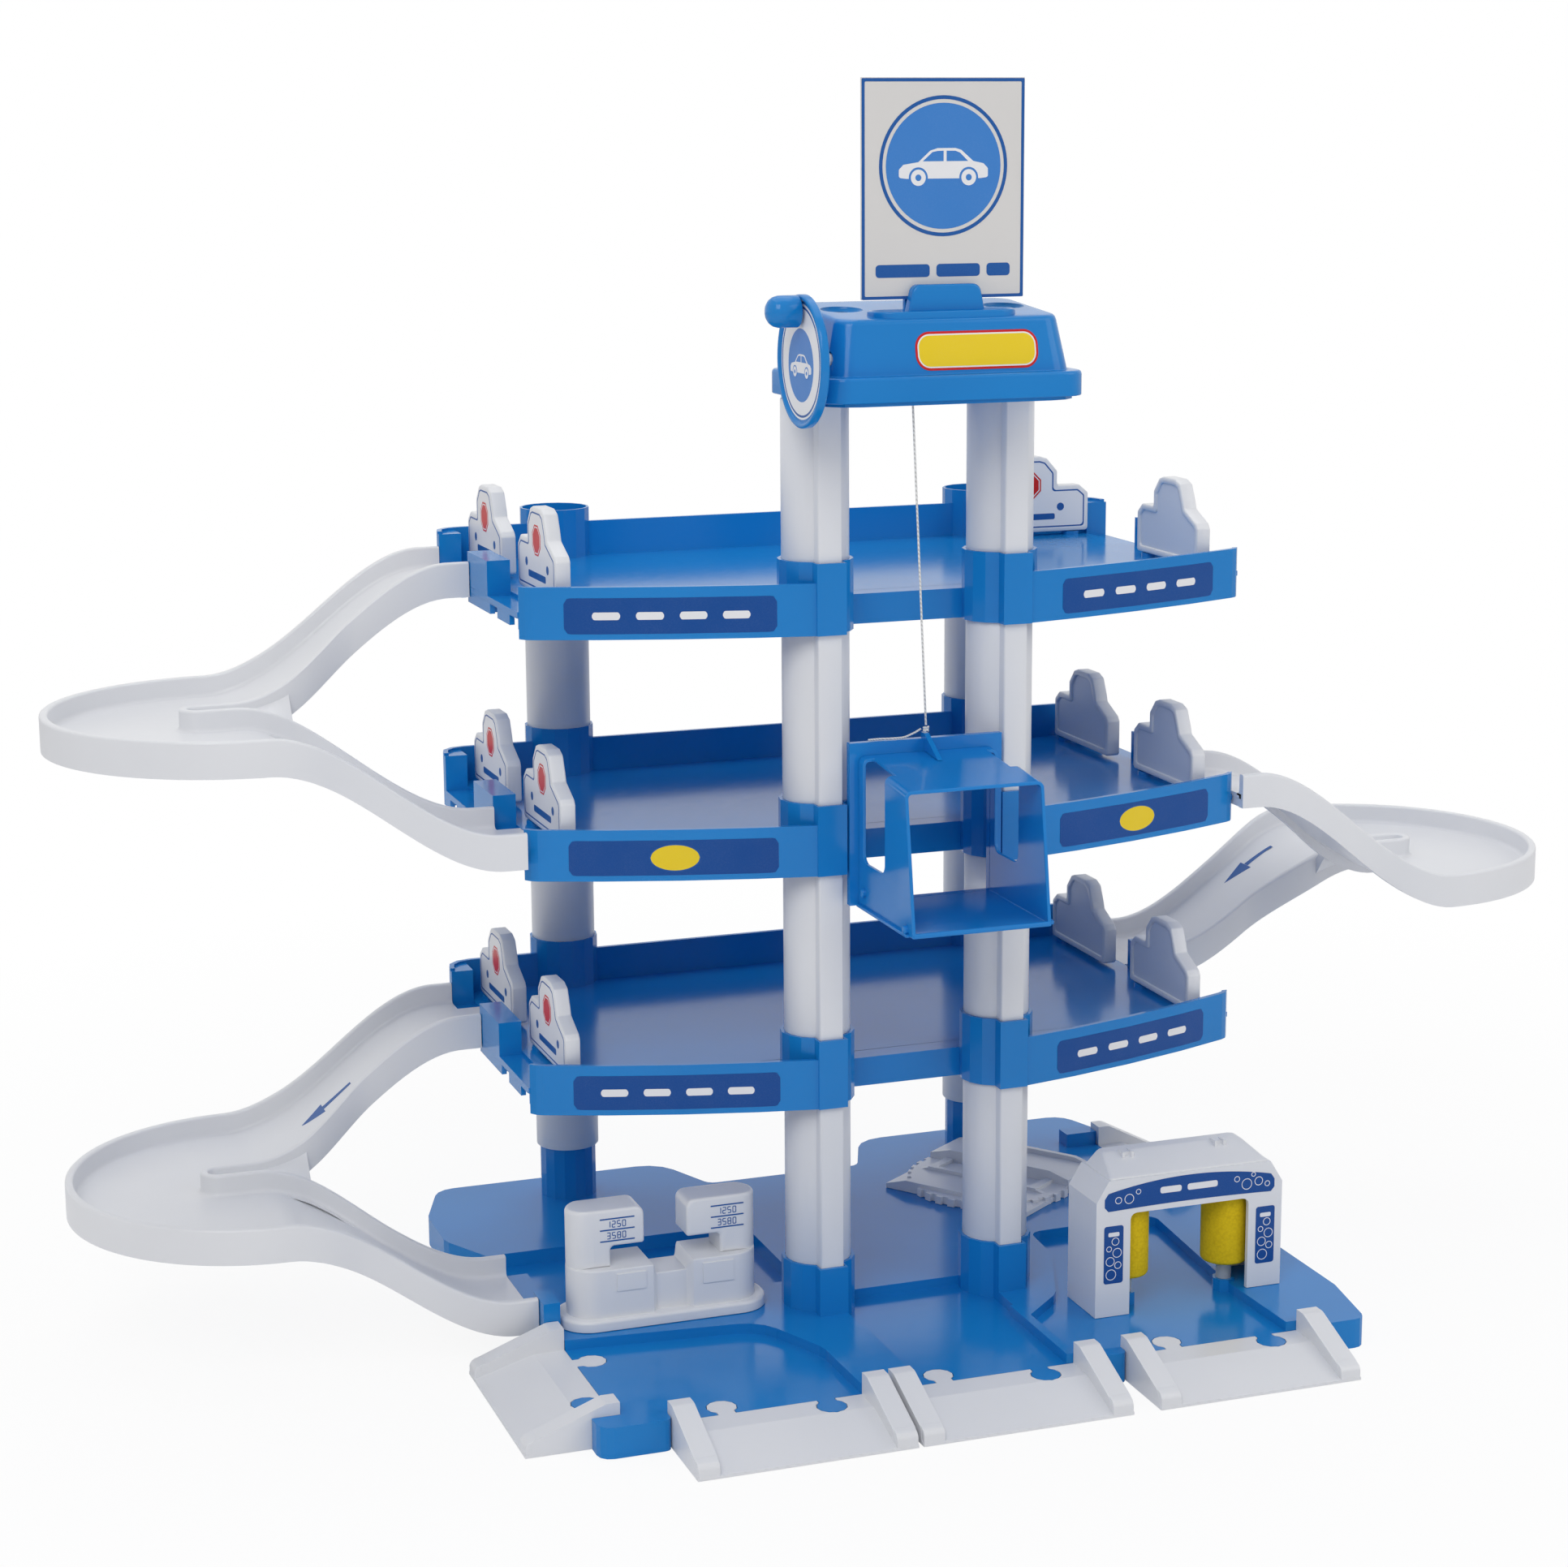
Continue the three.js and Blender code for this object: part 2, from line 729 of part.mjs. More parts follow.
// The nose is filled between its walls up to a shallow pocket.
function noseSolid() {
  const tipX = halfLength + loop.noseStraight;
  const crotchX = halfLength + loop.crotch;
  const steps = 3;
  const rings = [];
  for (let step = 0; step <= steps; step += 1) {
    const x = THREE.MathUtils.lerp(crotchX, tipX + loop.noseHalf / 2, step / steps);
    const [low, high] = [false, true].map((isHigh) => loopFloor(x, isHigh));
    const top = loop.wallRise - loop.pocket;
    rings.push([
      new THREE.Vector3(-x, -loop.noseHalf, low - loop.slab),
      new THREE.Vector3(-x, -loop.noseHalf, low + top),
      new THREE.Vector3(-x, loop.noseHalf, high + top),
      new THREE.Vector3(-x, loop.noseHalf, high - loop.slab),
    ]);
  }
  return skin(rings);
}

// A lane's side profile, a band under its floor.
function laneProfile(isHigh, rise, drop) {
  const steps = 8;
  const start = halfLength + loop.lead;
  const stations = [halfLength + loop.deckGap];
  for (let step = 0; step <= steps; step += 1) {
    stations.push(start + (loop.run * step) / steps);
  }
  stations.push(loop.turnX + loop.turnRadius);
  const upper = stations.map((x) => new THREE.Vector2(-x, loopFloor(x, isHigh) + rise));
  const lower = stations.map((x) => new THREE.Vector2(-x, loopFloor(x, isHigh) - drop));
  return [...upper, ...lower.reverse()];
}

// A whole loop ramp left of the garage, its Y from the loop's axis and its Z from the lower deck.
function loopSolid() {
  const outer = loopOuterPath(loop.wall / 2);
  const inner = loopInnerPath();
  const plan = [...outer, ...inner.slice().reverse()].map(([x, y]) => new THREE.Vector2(-x, y));
  const everyZ = [-levelRise, 2 * levelRise];
  const room = prism(plan, everyZ);
  const highFloor = prismAlongY(laneProfile(true, 0, loop.slab), [0, loop.turnRadius]).intersect(room);
  const lowFloor = prismAlongY(laneProfile(false, 0, loop.slab), [-loop.turnRadius, 0]).intersect(room);
  const pieces = [loopWall(outer), loopWall(inner), highFloor, lowFloor, noseSolid()];
  for (const isHigh of [true, false]) {
    const floor = deck.floorTop + (isHigh ? levelRise : 0);
    const side = isHigh ? 1 : -1;
    const end = -(halfLength + loop.deckGap);
    const lane = mirrored([loop.laneInner, loop.laneOuter], side);
    pieces.push(block([end - loop.endWeb, end], lane, [floor - loop.skirt, floor]));
    const tongueX = [end - loop.endWeb, -(halfLength - deck.endWall + fit)];
    const tongueFoot = floor - deck.floorTop + deck.lipTop + fit;
    pieces.push(block(tongueX, mirrored(loop.tongue, side), [tongueFoot, floor]));
    for (const offset of loop.peg.offsets) {
      const y = [side * offset - loop.peg.width / 2, side * offset + loop.peg.width / 2];
      const foot = floor - loop.skirt;
      const x = [end - loop.endWeb, end + loop.peg.length - loop.endWeb];
      pieces.push(block(x, y, [foot, foot + loop.peg.height]));
    }
  }
  return join(...pieces);
}

// The base's outer outline, anticlockwise from the front left nub.
function baseOutline() {
  const front = -base.apron - base.margin;
  const seam = -base.apron;
  const half = entrance.width / 2;
  const firstEdge = -half - entrance.pairGap - entrance.width;
  const lastEdge = half + entrance.bayGap + entrance.width;
  const outerX = halfLength + base.bulge;
  const corner = base.corner;
  const backY = deckDepth + base.lobe;
  const leftX = firstEdge - base.nub.left;
  return outline([
    [leftX, front, corner],
    [firstEdge - fit, front, corner / 2],
    [firstEdge - fit, seam],
    [half + fit, seam],
    [half + fit, front, corner / 2],
    [half + entrance.bayGap - fit, front, corner / 2],
    [half + entrance.bayGap - fit, seam],
    [lastEdge + fit, seam],
    [lastEdge + fit, front, corner / 2],
    [lastEdge + base.nub.right, front, corner],
    [outerX, front + entrance.length, corner],
    [outerX, base.rightRampY - half - fit, corner / 2],
    [base.rightSeam, base.rightRampY - half - fit],
    [base.rightSeam, base.rightRampY + half + fit],
    [outerX, base.rightRampY + half + fit],
    [halfLength, backY, 2 * corner],
    [base.lobeInner, backY, 3 * corner],
    [base.notchHalf, deckDepth - base.notchInset, corner],
    [-base.notchHalf, deckDepth - base.notchInset, corner],
    [-base.lobeInner, backY, 3 * corner],
    [-halfLength, backY, 2 * corner],
    [-outerX, deckDepth - base.notchInset, 2 * corner],
    [-outerX, gate.back[1] - base.lobe, 2 * corner],
    [-halfLength, gate.back[0], corner],
    [-halfLength, base.leftRampY + half + 2 * fit],
    [-base.sideSeam, base.leftRampY + half + 2 * fit],
    [-base.sideSeam, base.leftRampY - half - fit],
    [leftX, base.leftRampY - half - fit],
  ]);
}

// A puzzle knob that sticks out along +Y from a seam at Y = 0.
function knobSolid(z, play) {
  const neck = entrance.knobNeck + play;
  const centre = entrance.knobReach;
  const neckBlock = block([-neck, neck], [-overrun, centre], z);
  return join(neckBlock, rod(entrance.knobRadius + play, z, 0, centre, knobSides));
}

// Where the five entrance ramps meet the base: their seam's middle and the turn of their downhill side.
const entrancePlaces = [
  { name: "front_left", x: -entrance.width - entrance.pairGap, y: -base.apron, turn: 0 },
  { name: "front_middle", x: 0, y: -base.apron, turn: 0 },
  { name: "front_right", x: entrance.width + entrance.bayGap, y: -base.apron, turn: 0 },
  { name: "left", x: -base.sideSeam, y: base.leftRampY, turn: -Math.PI / 2 },
  { name: "right", x: base.rightSeam, y: base.rightRampY, turn: Math.PI / 2 },
];

// A knob moved from a ramp's own frame to its place in the base.
function placedKnob(place, side, z, play) {
  const local = knobSolid(z, play);
  const geometry = toGeometry(local);
  if (side > 0) geometry.rotateZ(Math.PI);
  geometry.translate(side * entrance.knobOffset, 0, 0);
  geometry.rotateZ(place.turn).translate(place.x, place.y, 0);
  return toSolid(geometry);
}

function bayOutline(shares, side) {
  return outline(
    shares.map(([x, y, corners = 0]) => [
      side * THREE.MathUtils.lerp(base.rib[1], halfLength, x),
      y * (y < 0 ? base.apron : deckDepth),
      corners * base.corner,
    ]),
  );
}

function laneOutline() {
  const columnLeft = -frontColumn.x - clamp.sleeve - base.corner;
  const front = gate.front[0] + base.laneFront;
  return outline([
    [-halfLength - overrun, gate.front[0]],
    [-halfLength + deck.endWall + base.corner, gate.front[0]],
    [-halfLength + deck.endWall + 2 * base.corner, front],
    [columnLeft, front, base.corner],
    [columnLeft + base.corner, front - base.corner, base.corner],
    [-frontColumn.x, front - base.corner],
    [-frontColumn.x, gate.back[0]],
    [-halfLength - overrun, gate.back[0]],
  ]);
}

function baseSolid() {
  const outer = baseOutline();
  const slabFoot = base.plateau - base.slab;
  const shell = cut(prism(outer, [0, base.plateau]), prism(inset(outer, base.wall), [-overrun, slabFoot]));
  const liftLane = outline([
    [-base.rib[0], -base.apron - overrun],
    [base.rib[0], -base.apron - overrun],
    [base.rib[0], -clamp.sleeve],
    [shaft.halfWidth, -clamp.sleeve],
    [shaft.halfWidth, base.ledge],
    [-shaft.halfWidth, base.ledge],
    [-shaft.halfWidth, -clamp.sleeve],
    [-base.rib[0], -clamp.sleeve],
  ]);
  const sunk = [
    [bayOutline(bayLeftShares, -1), base.bay],
    [liftLane, base.bay],
    [bayOutline(bayWashShares, 1), base.bay],
    [laneOutline(), base.lane],
  ];
  const pieces = [shell];
  const cuts = [];
  for (const [points, floor] of sunk) {
    const tray = prism(inset(points, -base.wall), [floor - base.slab, base.plateau]);
    pieces.push(tray.intersect(prism(outer, [0, base.plateau])));
    cuts.push(prism(points, [floor, base.plateau + overrun]));
  }
  const standing = [];
  const mouth = [-halfLength, -halfLength + deck.endWall];
  const sillTop = deck.lipTop + firstDeck - levelRise;
  standing.push(block(mouth, gate.front, [sillTop - deck.lip, sillTop]));
  standing.push(block([-halfLength, -halfLength + deck.wall], gate.front, [base.slab, sillTop]));
  const postFront = base.leftRampY + entrance.width / 2 + 2 * fit;
  const post = [-halfLength, -halfLength + base.mouthPostDepth];
  standing.push(block(post, [postFront, gate.front[0]], [slabFoot, base.mouthPost]));
  for (const side of [-1, 1]) {
    standing.push(clampBody(side * frontColumn.x, [0, base.socketTop]));
    standing.push(rod(base.stub, [0, base.stubTop], side * backColumn.x, backColumn.y));
    const pin = [base.stubTop - overrun, base.stubTop + base.stubPin];
    standing.push(rod(backColumn.bore - fit, pin, side * backColumn.x, backColumn.y));
  }
  for (const x of rollerPlaces) {
    standing.push(rod(wash.bossRadius, [base.bay - base.slab, wash.bossTop], x, middle(wash.y), pinSides));
  }
  const boss = [base.rightSeam - base.bossWidth, base.rightSeam];
  const bossY = base.bossLap.map((lap) => base.rightRampY + entrance.width / 2 + lap);
  standing.push(block(boss, bossY, [slabFoot, base.bossTop]));
  const holes = [];
  for (const offset of loop.peg.offsets) {
    const y = loop.axisY - offset;
    const notch = [y - gate.notchWidth / 2, y + gate.notchWidth / 2];
    const top = gate.notchTop + firstDeck - levelRise;
    holes.push(block([-halfLength - overrun, -halfLength + deck.wall + overrun], notch, [base.lane, top]));
  }
  for (const side of [-1, 1]) {
    const socket = [base.socketTop - base.socket, base.socketTop + overrun];
    holes.push(placedSection(side * frontColumn.x, socket, fit));
  }
  for (const x of rollerPlaces) {
    const hole = [base.bay + wash.bossFloor, wash.bossTop + overrun];
    holes.push(rod(wash.shaftRadius + fit, hole, x, middle(wash.y), pinSides));
  }
  for (const place of entrancePlaces) {
    const floor = entranceFloor(place);
    holes.push(placedKnob(place, -1, [-overrun, base.plateau + overrun], entrance.knobPlay));
    standing.push(placedKnob(place, 1, [floor - base.slab, floor], 0));
  }
  return cut(join(cut(join(...pieces), ...cuts), ...standing), ...holes);
}

// The right ramp meets the raised platform; the others meet a sunk bay.
const entranceFloor = (place) => (place.name === "right" ? base.plateau : base.bay);

// An entrance ramp that slopes down along -Y from its seam at Y = 0, with a curb down each side.
function entranceSolid(floor) {
  const half = entrance.width / 2;
  const length = entrance.length;
  const rise = floor - base.bay;
  const road = outline([
    [-fit, 0],
    [-fit, floor],
    [-entrance.flat, floor],
    [-length, entrance.tip],
    [-length, 0],
  ]);
  const hollow = outline([
    [-entrance.wall - fit, -overrun],
    [-entrance.wall - fit, floor - entrance.wall],
    [-entrance.flat, floor - entrance.wall],
    [-length + entrance.flat, -overrun],
  ]);
  const curb = outline([
    [-fit, 0],
    [-fit, entrance.curbTop + rise],
    [-entrance.curbFlat, entrance.curbTop + rise, entrance.curbEnd],
    [-length + entrance.curbEnd, entrance.curbNose, entrance.curbEnd],
    [-length + entrance.curbEnd, 0],
  ]);
  const curbs = [-1, 1].map((side) => prismAlongX(curb, mirrored([half - entrance.curb, half], side)));
  const inner = half - entrance.curb;
  const body = join(prismAlongX(road, [-half, half]), ...curbs);
  const key = knobSolid([floor - base.slab, floor], 0);
  const keyGeometry = toGeometry(key).translate(-entrance.knobOffset, 0, 0);
  const slotGeometry = toGeometry(knobSolid([-overrun, floor + overrun], entrance.knobPlay));
  slotGeometry.rotateZ(Math.PI).translate(entrance.knobOffset, 0, 0);
  const shell = cut(body, prismAlongX(hollow, [-inner, inner]), toSolid(slotGeometry));
  return join(shell, toSolid(keyGeometry));
}

// The fuel island: a round-ended plinth with a low body, and a saddle between its two ends.
function islandSolid() {
  const foot = base.plateau + fit;
  const plinthTop = base.plateau + island.plinth;
  const plinth = prism(roundedBox(island.x, island.y, span(island.y) / 2 - fit), [foot, plinthTop]);
  const x = grown(island.x, -island.stepX);
  const saddleMiddle = middle(island.x) + island.saddleShift;
  const saddle = [saddleMiddle - island.saddleHalf, saddleMiddle + island.saddleHalf];
  const shape = outline([
    [x[0], foot],
    [x[1], foot],
    [x[1], island.bodyTop],
    [saddle[1], island.bodyTop],
    [saddle[1], island.saddleTop],
    [saddle[0], island.saddleTop],
    [saddle[0], island.bodyTop],
    [x[0], island.bodyTop],
  ]);
  const y = grown(island.y, -island.stepY);
  const rounded = prism(roundedBox(x, y, base.corner), [foot, island.bodyTop + overrun]);
  return join(plinth, prismAlongY(shape, y).intersect(rounded));
}

// A fuel pump whose column stands at its outer end; side says which end of the island.
function pumpSolid(side) {
  const outer = side < 0 ? island.x[0] + island.columnInset : island.x[1] - island.stepX;
  const into = -side;
  const reach = (span(island.x) - island.columnInset - island.stepX - island.headGap) / 2;
  const overhang = reach - island.columnWidth;
  const chamfer = Math.min(island.headChamfer, overhang / 2);
  const radius = island.headRadius;
  const small = Math.min(radius, chamfer) / 2;
  const tip = outer + into * reach;
  const corners = [
    [outer, island.bodyTop + fit],
    [outer, island.headTop, radius],
    [tip, island.headTop, radius],
    [tip, island.headFoot + chamfer, small],
    [tip - into * chamfer, island.headFoot],
    [outer + into * island.columnWidth, island.headFoot, small],
    [outer + into * island.columnWidth, island.bodyTop + fit],
  ];
  const middleY = middle(island.y);
  return prismAlongY(outline(corners), [middleY - island.pumpHalf, middleY + island.pumpHalf]);
}

const rollerPlaces = [wash.x[0] + wash.rollerX, wash.x[1] - wash.rollerX];

// The car wash is a thin hood on four corner legs, open front and back.
function washArchSolid() {
  const foot = base.bay + fit;
  const shell = (inwards) => [
    [wash.x[0] + inwards, foot - (inwards ? overrun : 0)],
    [wash.x[1] - inwards, foot - (inwards ? overrun : 0)],
    [wash.x[1] - inwards, wash.shoulder],
    [wash.x[1] - wash.shoulderIn - inwards / 2, wash.top - inwards],
    [wash.x[0] + wash.shoulderIn + inwards / 2, wash.top - inwards],
    [wash.x[0] + inwards, wash.shoulder],
  ];
  const hood = prismAlongY(outline(shell(0)), wash.y);
  const inner = prismAlongY(outline(shell(wash.wall)), grown(wash.y, -wash.wall));
  const legs = grown(wash.x, -wash.leg);
  const corner = base.corner / 2;
  const doorway = outline([
    [legs[0], foot - overrun],
    [legs[1], foot - overrun],
    [legs[1], wash.lintel, corner],
    [legs[0], wash.lintel, corner],
  ]);
  const rightLeg = [wash.x[1] - wash.leg - overrun, wash.x[1] + overrun];
  const step = block(rightLeg, grown(wash.y, overrun), [0, base.plateau + fit]);
  return cut(hood, inner, prismAlongY(doorway, grown(wash.y, overrun)), step);
}

// The wash's roof cap, with two moulded clips along its ridge.
function washRoofSolid() {
  const foot = wash.top + fit;
  const x = grown(wash.x, -wash.shoulderIn - wash.roofStep);
  const ridge = grown(wash.x, -wash.shoulderIn - wash.roofIn);
  const low = roundedBox(x, wash.roofY, wash.roofStep);
  const high = roundedBox(ridge, grown(wash.roofY, -wash.roofStep), wash.roofStep);
  return skin([atHeight(low, foot), atHeight(low, foot + wash.wall), atHeight(high, wash.roofTop)]);
}

function rollerSolid() {
  const body = rod(wash.rollerRadius, [wash.rollerFoot, wash.rollerTop]);
  const bore = grown([wash.rollerFoot, wash.rollerTop], overrun);
  return cut(body, rod(wash.shaftRadius + bearing, bore, 0, 0, pinSides));
}

// A roller's shaft, with a flange that the roller stands on.
function rollerShaftSolid() {
  const foot = base.bay + wash.bossFloor + fit;
  const shaft = rod(wash.shaftRadius, [foot, wash.top - wash.wall - fit], 0, 0, pinSides);
  const flange = [wash.rollerFoot - fit - wash.bossFloor, wash.rollerFoot - fit];
  return join(shaft, rod(wash.bossRadius, flange, 0, 0, pinSides));
}

// The service rack: a low disc with a toothed rim, and two tracks across it with sloped ends.
function rackSolid() {
  const rim = [];
  const pitch = (2 * Math.PI) / rack.teeth;
  for (let tooth = 0; tooth < rack.teeth; tooth += 1) {
    for (const share of [0, 1 / 2]) {
      const radius = share ? rack.radius - rack.toothDepth : rack.radius;
      const start = (tooth + share) * pitch;
      rim.push([start, radius], [start + pitch / 2, radius]);
    }
  }
  const middlePoint = new THREE.Vector2();
  const gear = rim.map(([angle, radius]) => new THREE.Vector2(radius, 0).rotateAround(middlePoint, angle));
  const pieces = [prism(gear, [0, rack.disc])];
  for (const side of [-1, 1]) {
    const top = side < 0 ? rack.frontTop : rack.backTop;
    const tip = side < 0 ? rack.frontTip : rack.backTip;
    const across = mirrored([rack.width / 2 - rack.track, rack.width / 2], side);
    const floor = top - rack.channel;
    const profile = (height) => [
      [-rack.half, 0],
      [rack.half, 0],
      [rack.half, tip],
      [rack.half - rack.ramp, height],
      [rack.ramp - rack.half, height],
      [-rack.half, tip],
    ];
    pieces.push(prismAlongY(outline(profile(floor)), across));
    for (const edge of [0, 1]) {
      const rail = edge ? [across[1] - rack.rail, across[1]] : [across[0], across[0] + rack.rail];
      pieces.push(prismAlongY(outline(profile(top)), rail));
    }
  }
  for (const side of [-1, 1]) {
    const x = [rack.half - rack.barInset - rack.bar, rack.half - rack.barInset];
    const reach = rack.width / 2 - rack.track + rack.rail;
    pieces.push(block(mirrored(x, side), [-reach, reach], [0, rack.frontTop]));
  }
  return join(...pieces);
}

function headOutline(inwards) {
  const x = [-head.rimHalf + inwards, head.rimHalf - inwards];
  return roundedBox(x, [head.rimFront + inwards, head.rimBack - inwards], head.rimRadius - inwards / 2);
}

// The roof cap is a thin shell open below, with a rim, sloped sides and a low crown.
function roofCapSolid() {
  const waist = head.rimStep;
  const shoulder = waist + head.shoulderIn;
  const crown = shoulder + head.crownIn;
  const rim = prism(headOutline(0), [head.rimFoot, head.rimTop]);
  const dome = skin([
    atHeight(headOutline(waist), head.rimTop - overrun),
    atHeight(headOutline(shoulder), head.shoulder),
    atHeight(headOutline(crown), head.crown),
  ]);
  const inside = head.wall;
  const rimRoom = prism(headOutline(inside), [head.rimFoot - overrun, head.rimTop - inside]);
  const domeRoom = skin([
    atHeight(headOutline(waist + inside), head.rimTop - inside - overrun),
    atHeight(headOutline(shoulder + inside), head.shoulder - inside),
    atHeight(headOutline(crown + inside), head.crown - inside),
  ]);
  const axleHole = [-head.rimHalf - overrun, -head.rimHalf / 2];
  const cuts = [rimRoom, domeRoom, rodAlongX(winch.axle + bearing, axleHole, winch.y, winch.z)];
  let cap = join(rim, dome);
  for (const side of [-1, 1]) {
    const dimple = [head.crown - head.dimpleDepth, head.crown + overrun];
    const cup = rod(
      head.dimpleRadius + head.wall,
      [head.crown - head.dimpleDepth - head.wall, head.crown - head.wall / 2],
      side * head.dimpleX,
      head.dimpleY,
    );
    cap = join(cut(cap, ...cuts.splice(0)), cup);
    cuts.push(rod(head.dimpleRadius, dimple, side * head.dimpleX, head.dimpleY));
    cap = cut(cap, cuts.pop());
  }
  return cap;
}

// The tray closes the cap from below, stands on the front columns and carries the winch's axle.
function roofTraySolid() {
  const plate = prism(headOutline(head.wall + fit), [head.trayFoot, head.trayTop]);
  const pieces = [plate];
  for (const side of [-1, 1]) {
    const pin = [head.trayFoot - base.stubPin, head.trayFoot + overrun];
    pieces.push(rod(frontColumn.bore - fit, pin, side * frontColumn.x, frontColumn.y));
  }
  const bores = [];
  for (const x of head.bearingX) {
    const wide = [x, x + head.bearingWidth];
    const y = [winch.y - head.bearingHalf, winch.y + head.bearingHalf];
    pieces.push(block(wide, y, [head.trayFoot, winch.z + head.bearingHalf]));
    bores.push(rodAlongX(winch.axle + bearing, grown(wide, overrun), winch.y, winch.z));
  }
  const slotX = [stringTop.x - head.bearingWidth, stringTop.x / 4];
  const slotY = [stringTop.y - head.bearingWidth, stringTop.y / 4];
  bores.push(block(slotX, slotY, grown([head.trayFoot, head.trayTop], overrun)));
  return cut(join(...pieces), ...bores);
}

// The winch's axle turns in the tray, with a drum for the string, and carries the crank outside.
function winchSolid() {
  const axle = rodAlongX(winch.axle, [-crank.discX + fit, winch.innerEnd], 0, 0, knobSides);
  const drum = rodAlongX(winch.drum, [-winch.drumHalf, winch.drumHalf]);
  const flanges = [-winch.drumHalf, winch.drumHalf].map((x) =>
    rodAlongX(winch.drum + head.wall, grown([x, x], head.wall / 2)),
  );
  return join(axle, drum, ...flanges);
}

// The crank's disc: a flat plate with a raised rim and a hub, its outer face to -X.
function crankDiscSolid() {
  const outerFace = -crank.discX - crank.thickness;
  const plate = rodAlongX(crank.radius, [outerFace, -crank.discX], 0, 0, 2 * roundSides);
  const sunk = rodAlongX(
    crank.radius - crank.rim,
    [outerFace - overrun, outerFace + crank.rimRise],
    0,
    0,
    2 * roundSides,
  );
  const hole = rodAlongX(
    crank.knobPin + fit,
    [outerFace - overrun, -crank.discX - crank.rimRise],
    0,
    crank.knobOffset,
    pinSides,
  );
  return cut(plate, sunk, hole);
}

// The crank's knob: a round-ended handle on a pin that goes into the disc.
function crankKnobSolid() {
  const face = -crank.discX - crank.thickness - fit;
  const end = face - crank.knobLength;
  const radius = crank.knobRadius;
  const profile = [
    [0, end],
    [radius / 2, end + radius / 8],
    [radius * 0.87, end + radius / 2],
    [radius, end + radius],
    [radius, face],
    [crank.knobPin, face],
    [crank.knobPin, -crank.discX - 2 * crank.rimRise],
    [0, -crank.discX - 2 * crank.rimRise],
  ].map(([r, x]) => new THREE.Vector2(r, x));
  const knob = new THREE.LatheGeometry(profile, roundSides).rotateZ(-Math.PI / 2);
  return toSolid(knob.translate(0, 0, crank.knobOffset));
}

// The sign's round holder on the crown: two tabs grip the board's foot.
function signHolderSolid() {
  const foot = head.crown + fit;
  const plateTop = foot + sign.holder;
  const plate = rod(sign.holderRadius, [foot, plateTop], 0, sign.holderY, 2 * roundSides);
  const half = sign.thickness / 2 + fit;
  const shape = outline([
    [-sign.tabHalf, foot],
    [sign.tabHalf, foot],
    [sign.tabHalf - sign.tabSlant, plateTop + sign.tabHeight, sign.tab],
    [sign.tabSlant - sign.tabHalf, plateTop + sign.tabHeight, sign.tab],
  ]);
  const tabs = [-1, 1].map((side) => {
    const y = mirrored([half, half + sign.tab], side).map((value) => value + sign.y);
    return prismAlongY(shape, y);
  });
  return join(plate, ...tabs);
}

function signBoardSolid() {
  const y = [sign.y - sign.thickness / 2, sign.y + sign.thickness / 2];
  const foot = head.crown + sign.holder + 2 * fit;
  return block([-sign.halfWidth, sign.halfWidth], y, [foot, foot + sign.height]);
}

// The lift's folded cabin: floor, two windowed sides and a roof that slopes to the front.
function cabinSolid() {
  const side = outline([
    [-lift.backFront, 0],
    [-lift.backFront, lift.roofBack],
    [-lift.roofReach, lift.roofFront, base.corner / 2],
    [-lift.floorReach, 0],
  ]);
  const window = outline([
    [lift.window[1], lift.windowFoot + lift.windowCut],
    [lift.window[1], lift.windowTop, base.corner / 2],
    [lift.window[0], lift.windowTop - 2 * lift.wall],
    [lift.window[0], lift.windowFoot],
    [lift.window[1] - lift.windowCut, lift.windowFoot],
  ]);
  const whole = prismAlongX(side, [-lift.halfWidth, lift.halfWidth]);
  const room = outline([
    [0, lift.wall],
    [0, lift.roofBack - lift.wall],
    [-lift.roofReach - overrun, lift.roofFront - lift.wall],
    [-lift.floorReach - overrun, lift.wall],
  ]);
  const inner = prismAlongX(room, grown([-lift.halfWidth, lift.halfWidth], -lift.wall));
  return cut(whole, inner, prismAlongX(window, grown([-lift.halfWidth, lift.halfWidth], overrun)));
}

// The portal behind the cabin slides between the columns; its lug takes the string.
function liftFrameSolid() {
  const y = [-lift.backFront + fit, lift.frameBack];
  const plate = block([-lift.frameHalf, lift.frameHalf], y, [0, lift.frameTop]);
  const openingTop = lift.roofBack - lift.wall;
  const opening = block([-lift.frameLeg, lift.frameLeg], grown(y, overrun), [lift.wall, openingTop]);
  const lug = outline([
    [lift.frameBack, lift.roofBack + fit],
    [lift.frameBack, lift.lugTop],
    [-lift.backFront, lift.lugTop],
    [-lift.lugReach, lugFoot(-lift.lugReach) + fit],
    [-lift.backFront, lugFoot(-lift.backFront) + fit],
  ]);
  return join(cut(plate, opening), prismAlongX(lug, [-lift.lug / 2, lift.lug / 2]));
}

// The roof's height at a place along its slope.
function lugFoot(y) {
  const share = (-lift.backFront - y) / (lift.roofReach - lift.backFront);
  return THREE.MathUtils.lerp(lift.roofBack, lift.roofFront, share);
}

const stringTop = {
  x: cord.slant,
  y: winch.y - winch.drum - winch.cordRadius - fit,
  z: shaftTop + winch.z - lift.foot,
};
const knotZ = lift.lugTop + fit + cord.knot;

// A thin cord along a path, with a section of a few sides.
function cordSolid(path, steps) {
  const section = [];
  for (let i = 0; i < cordSides; i += 1) {
    const angle = (2 * Math.PI * i) / cordSides;
    section.push(new THREE.Vector2(winch.cordRadius * Math.cos(angle), winch.cordRadius * Math.sin(angle)));
  }
  const tube = new THREE.ExtrudeGeometry(new THREE.Shape(section), { steps, extrudePath: path });
  return toSolid(tube);
}

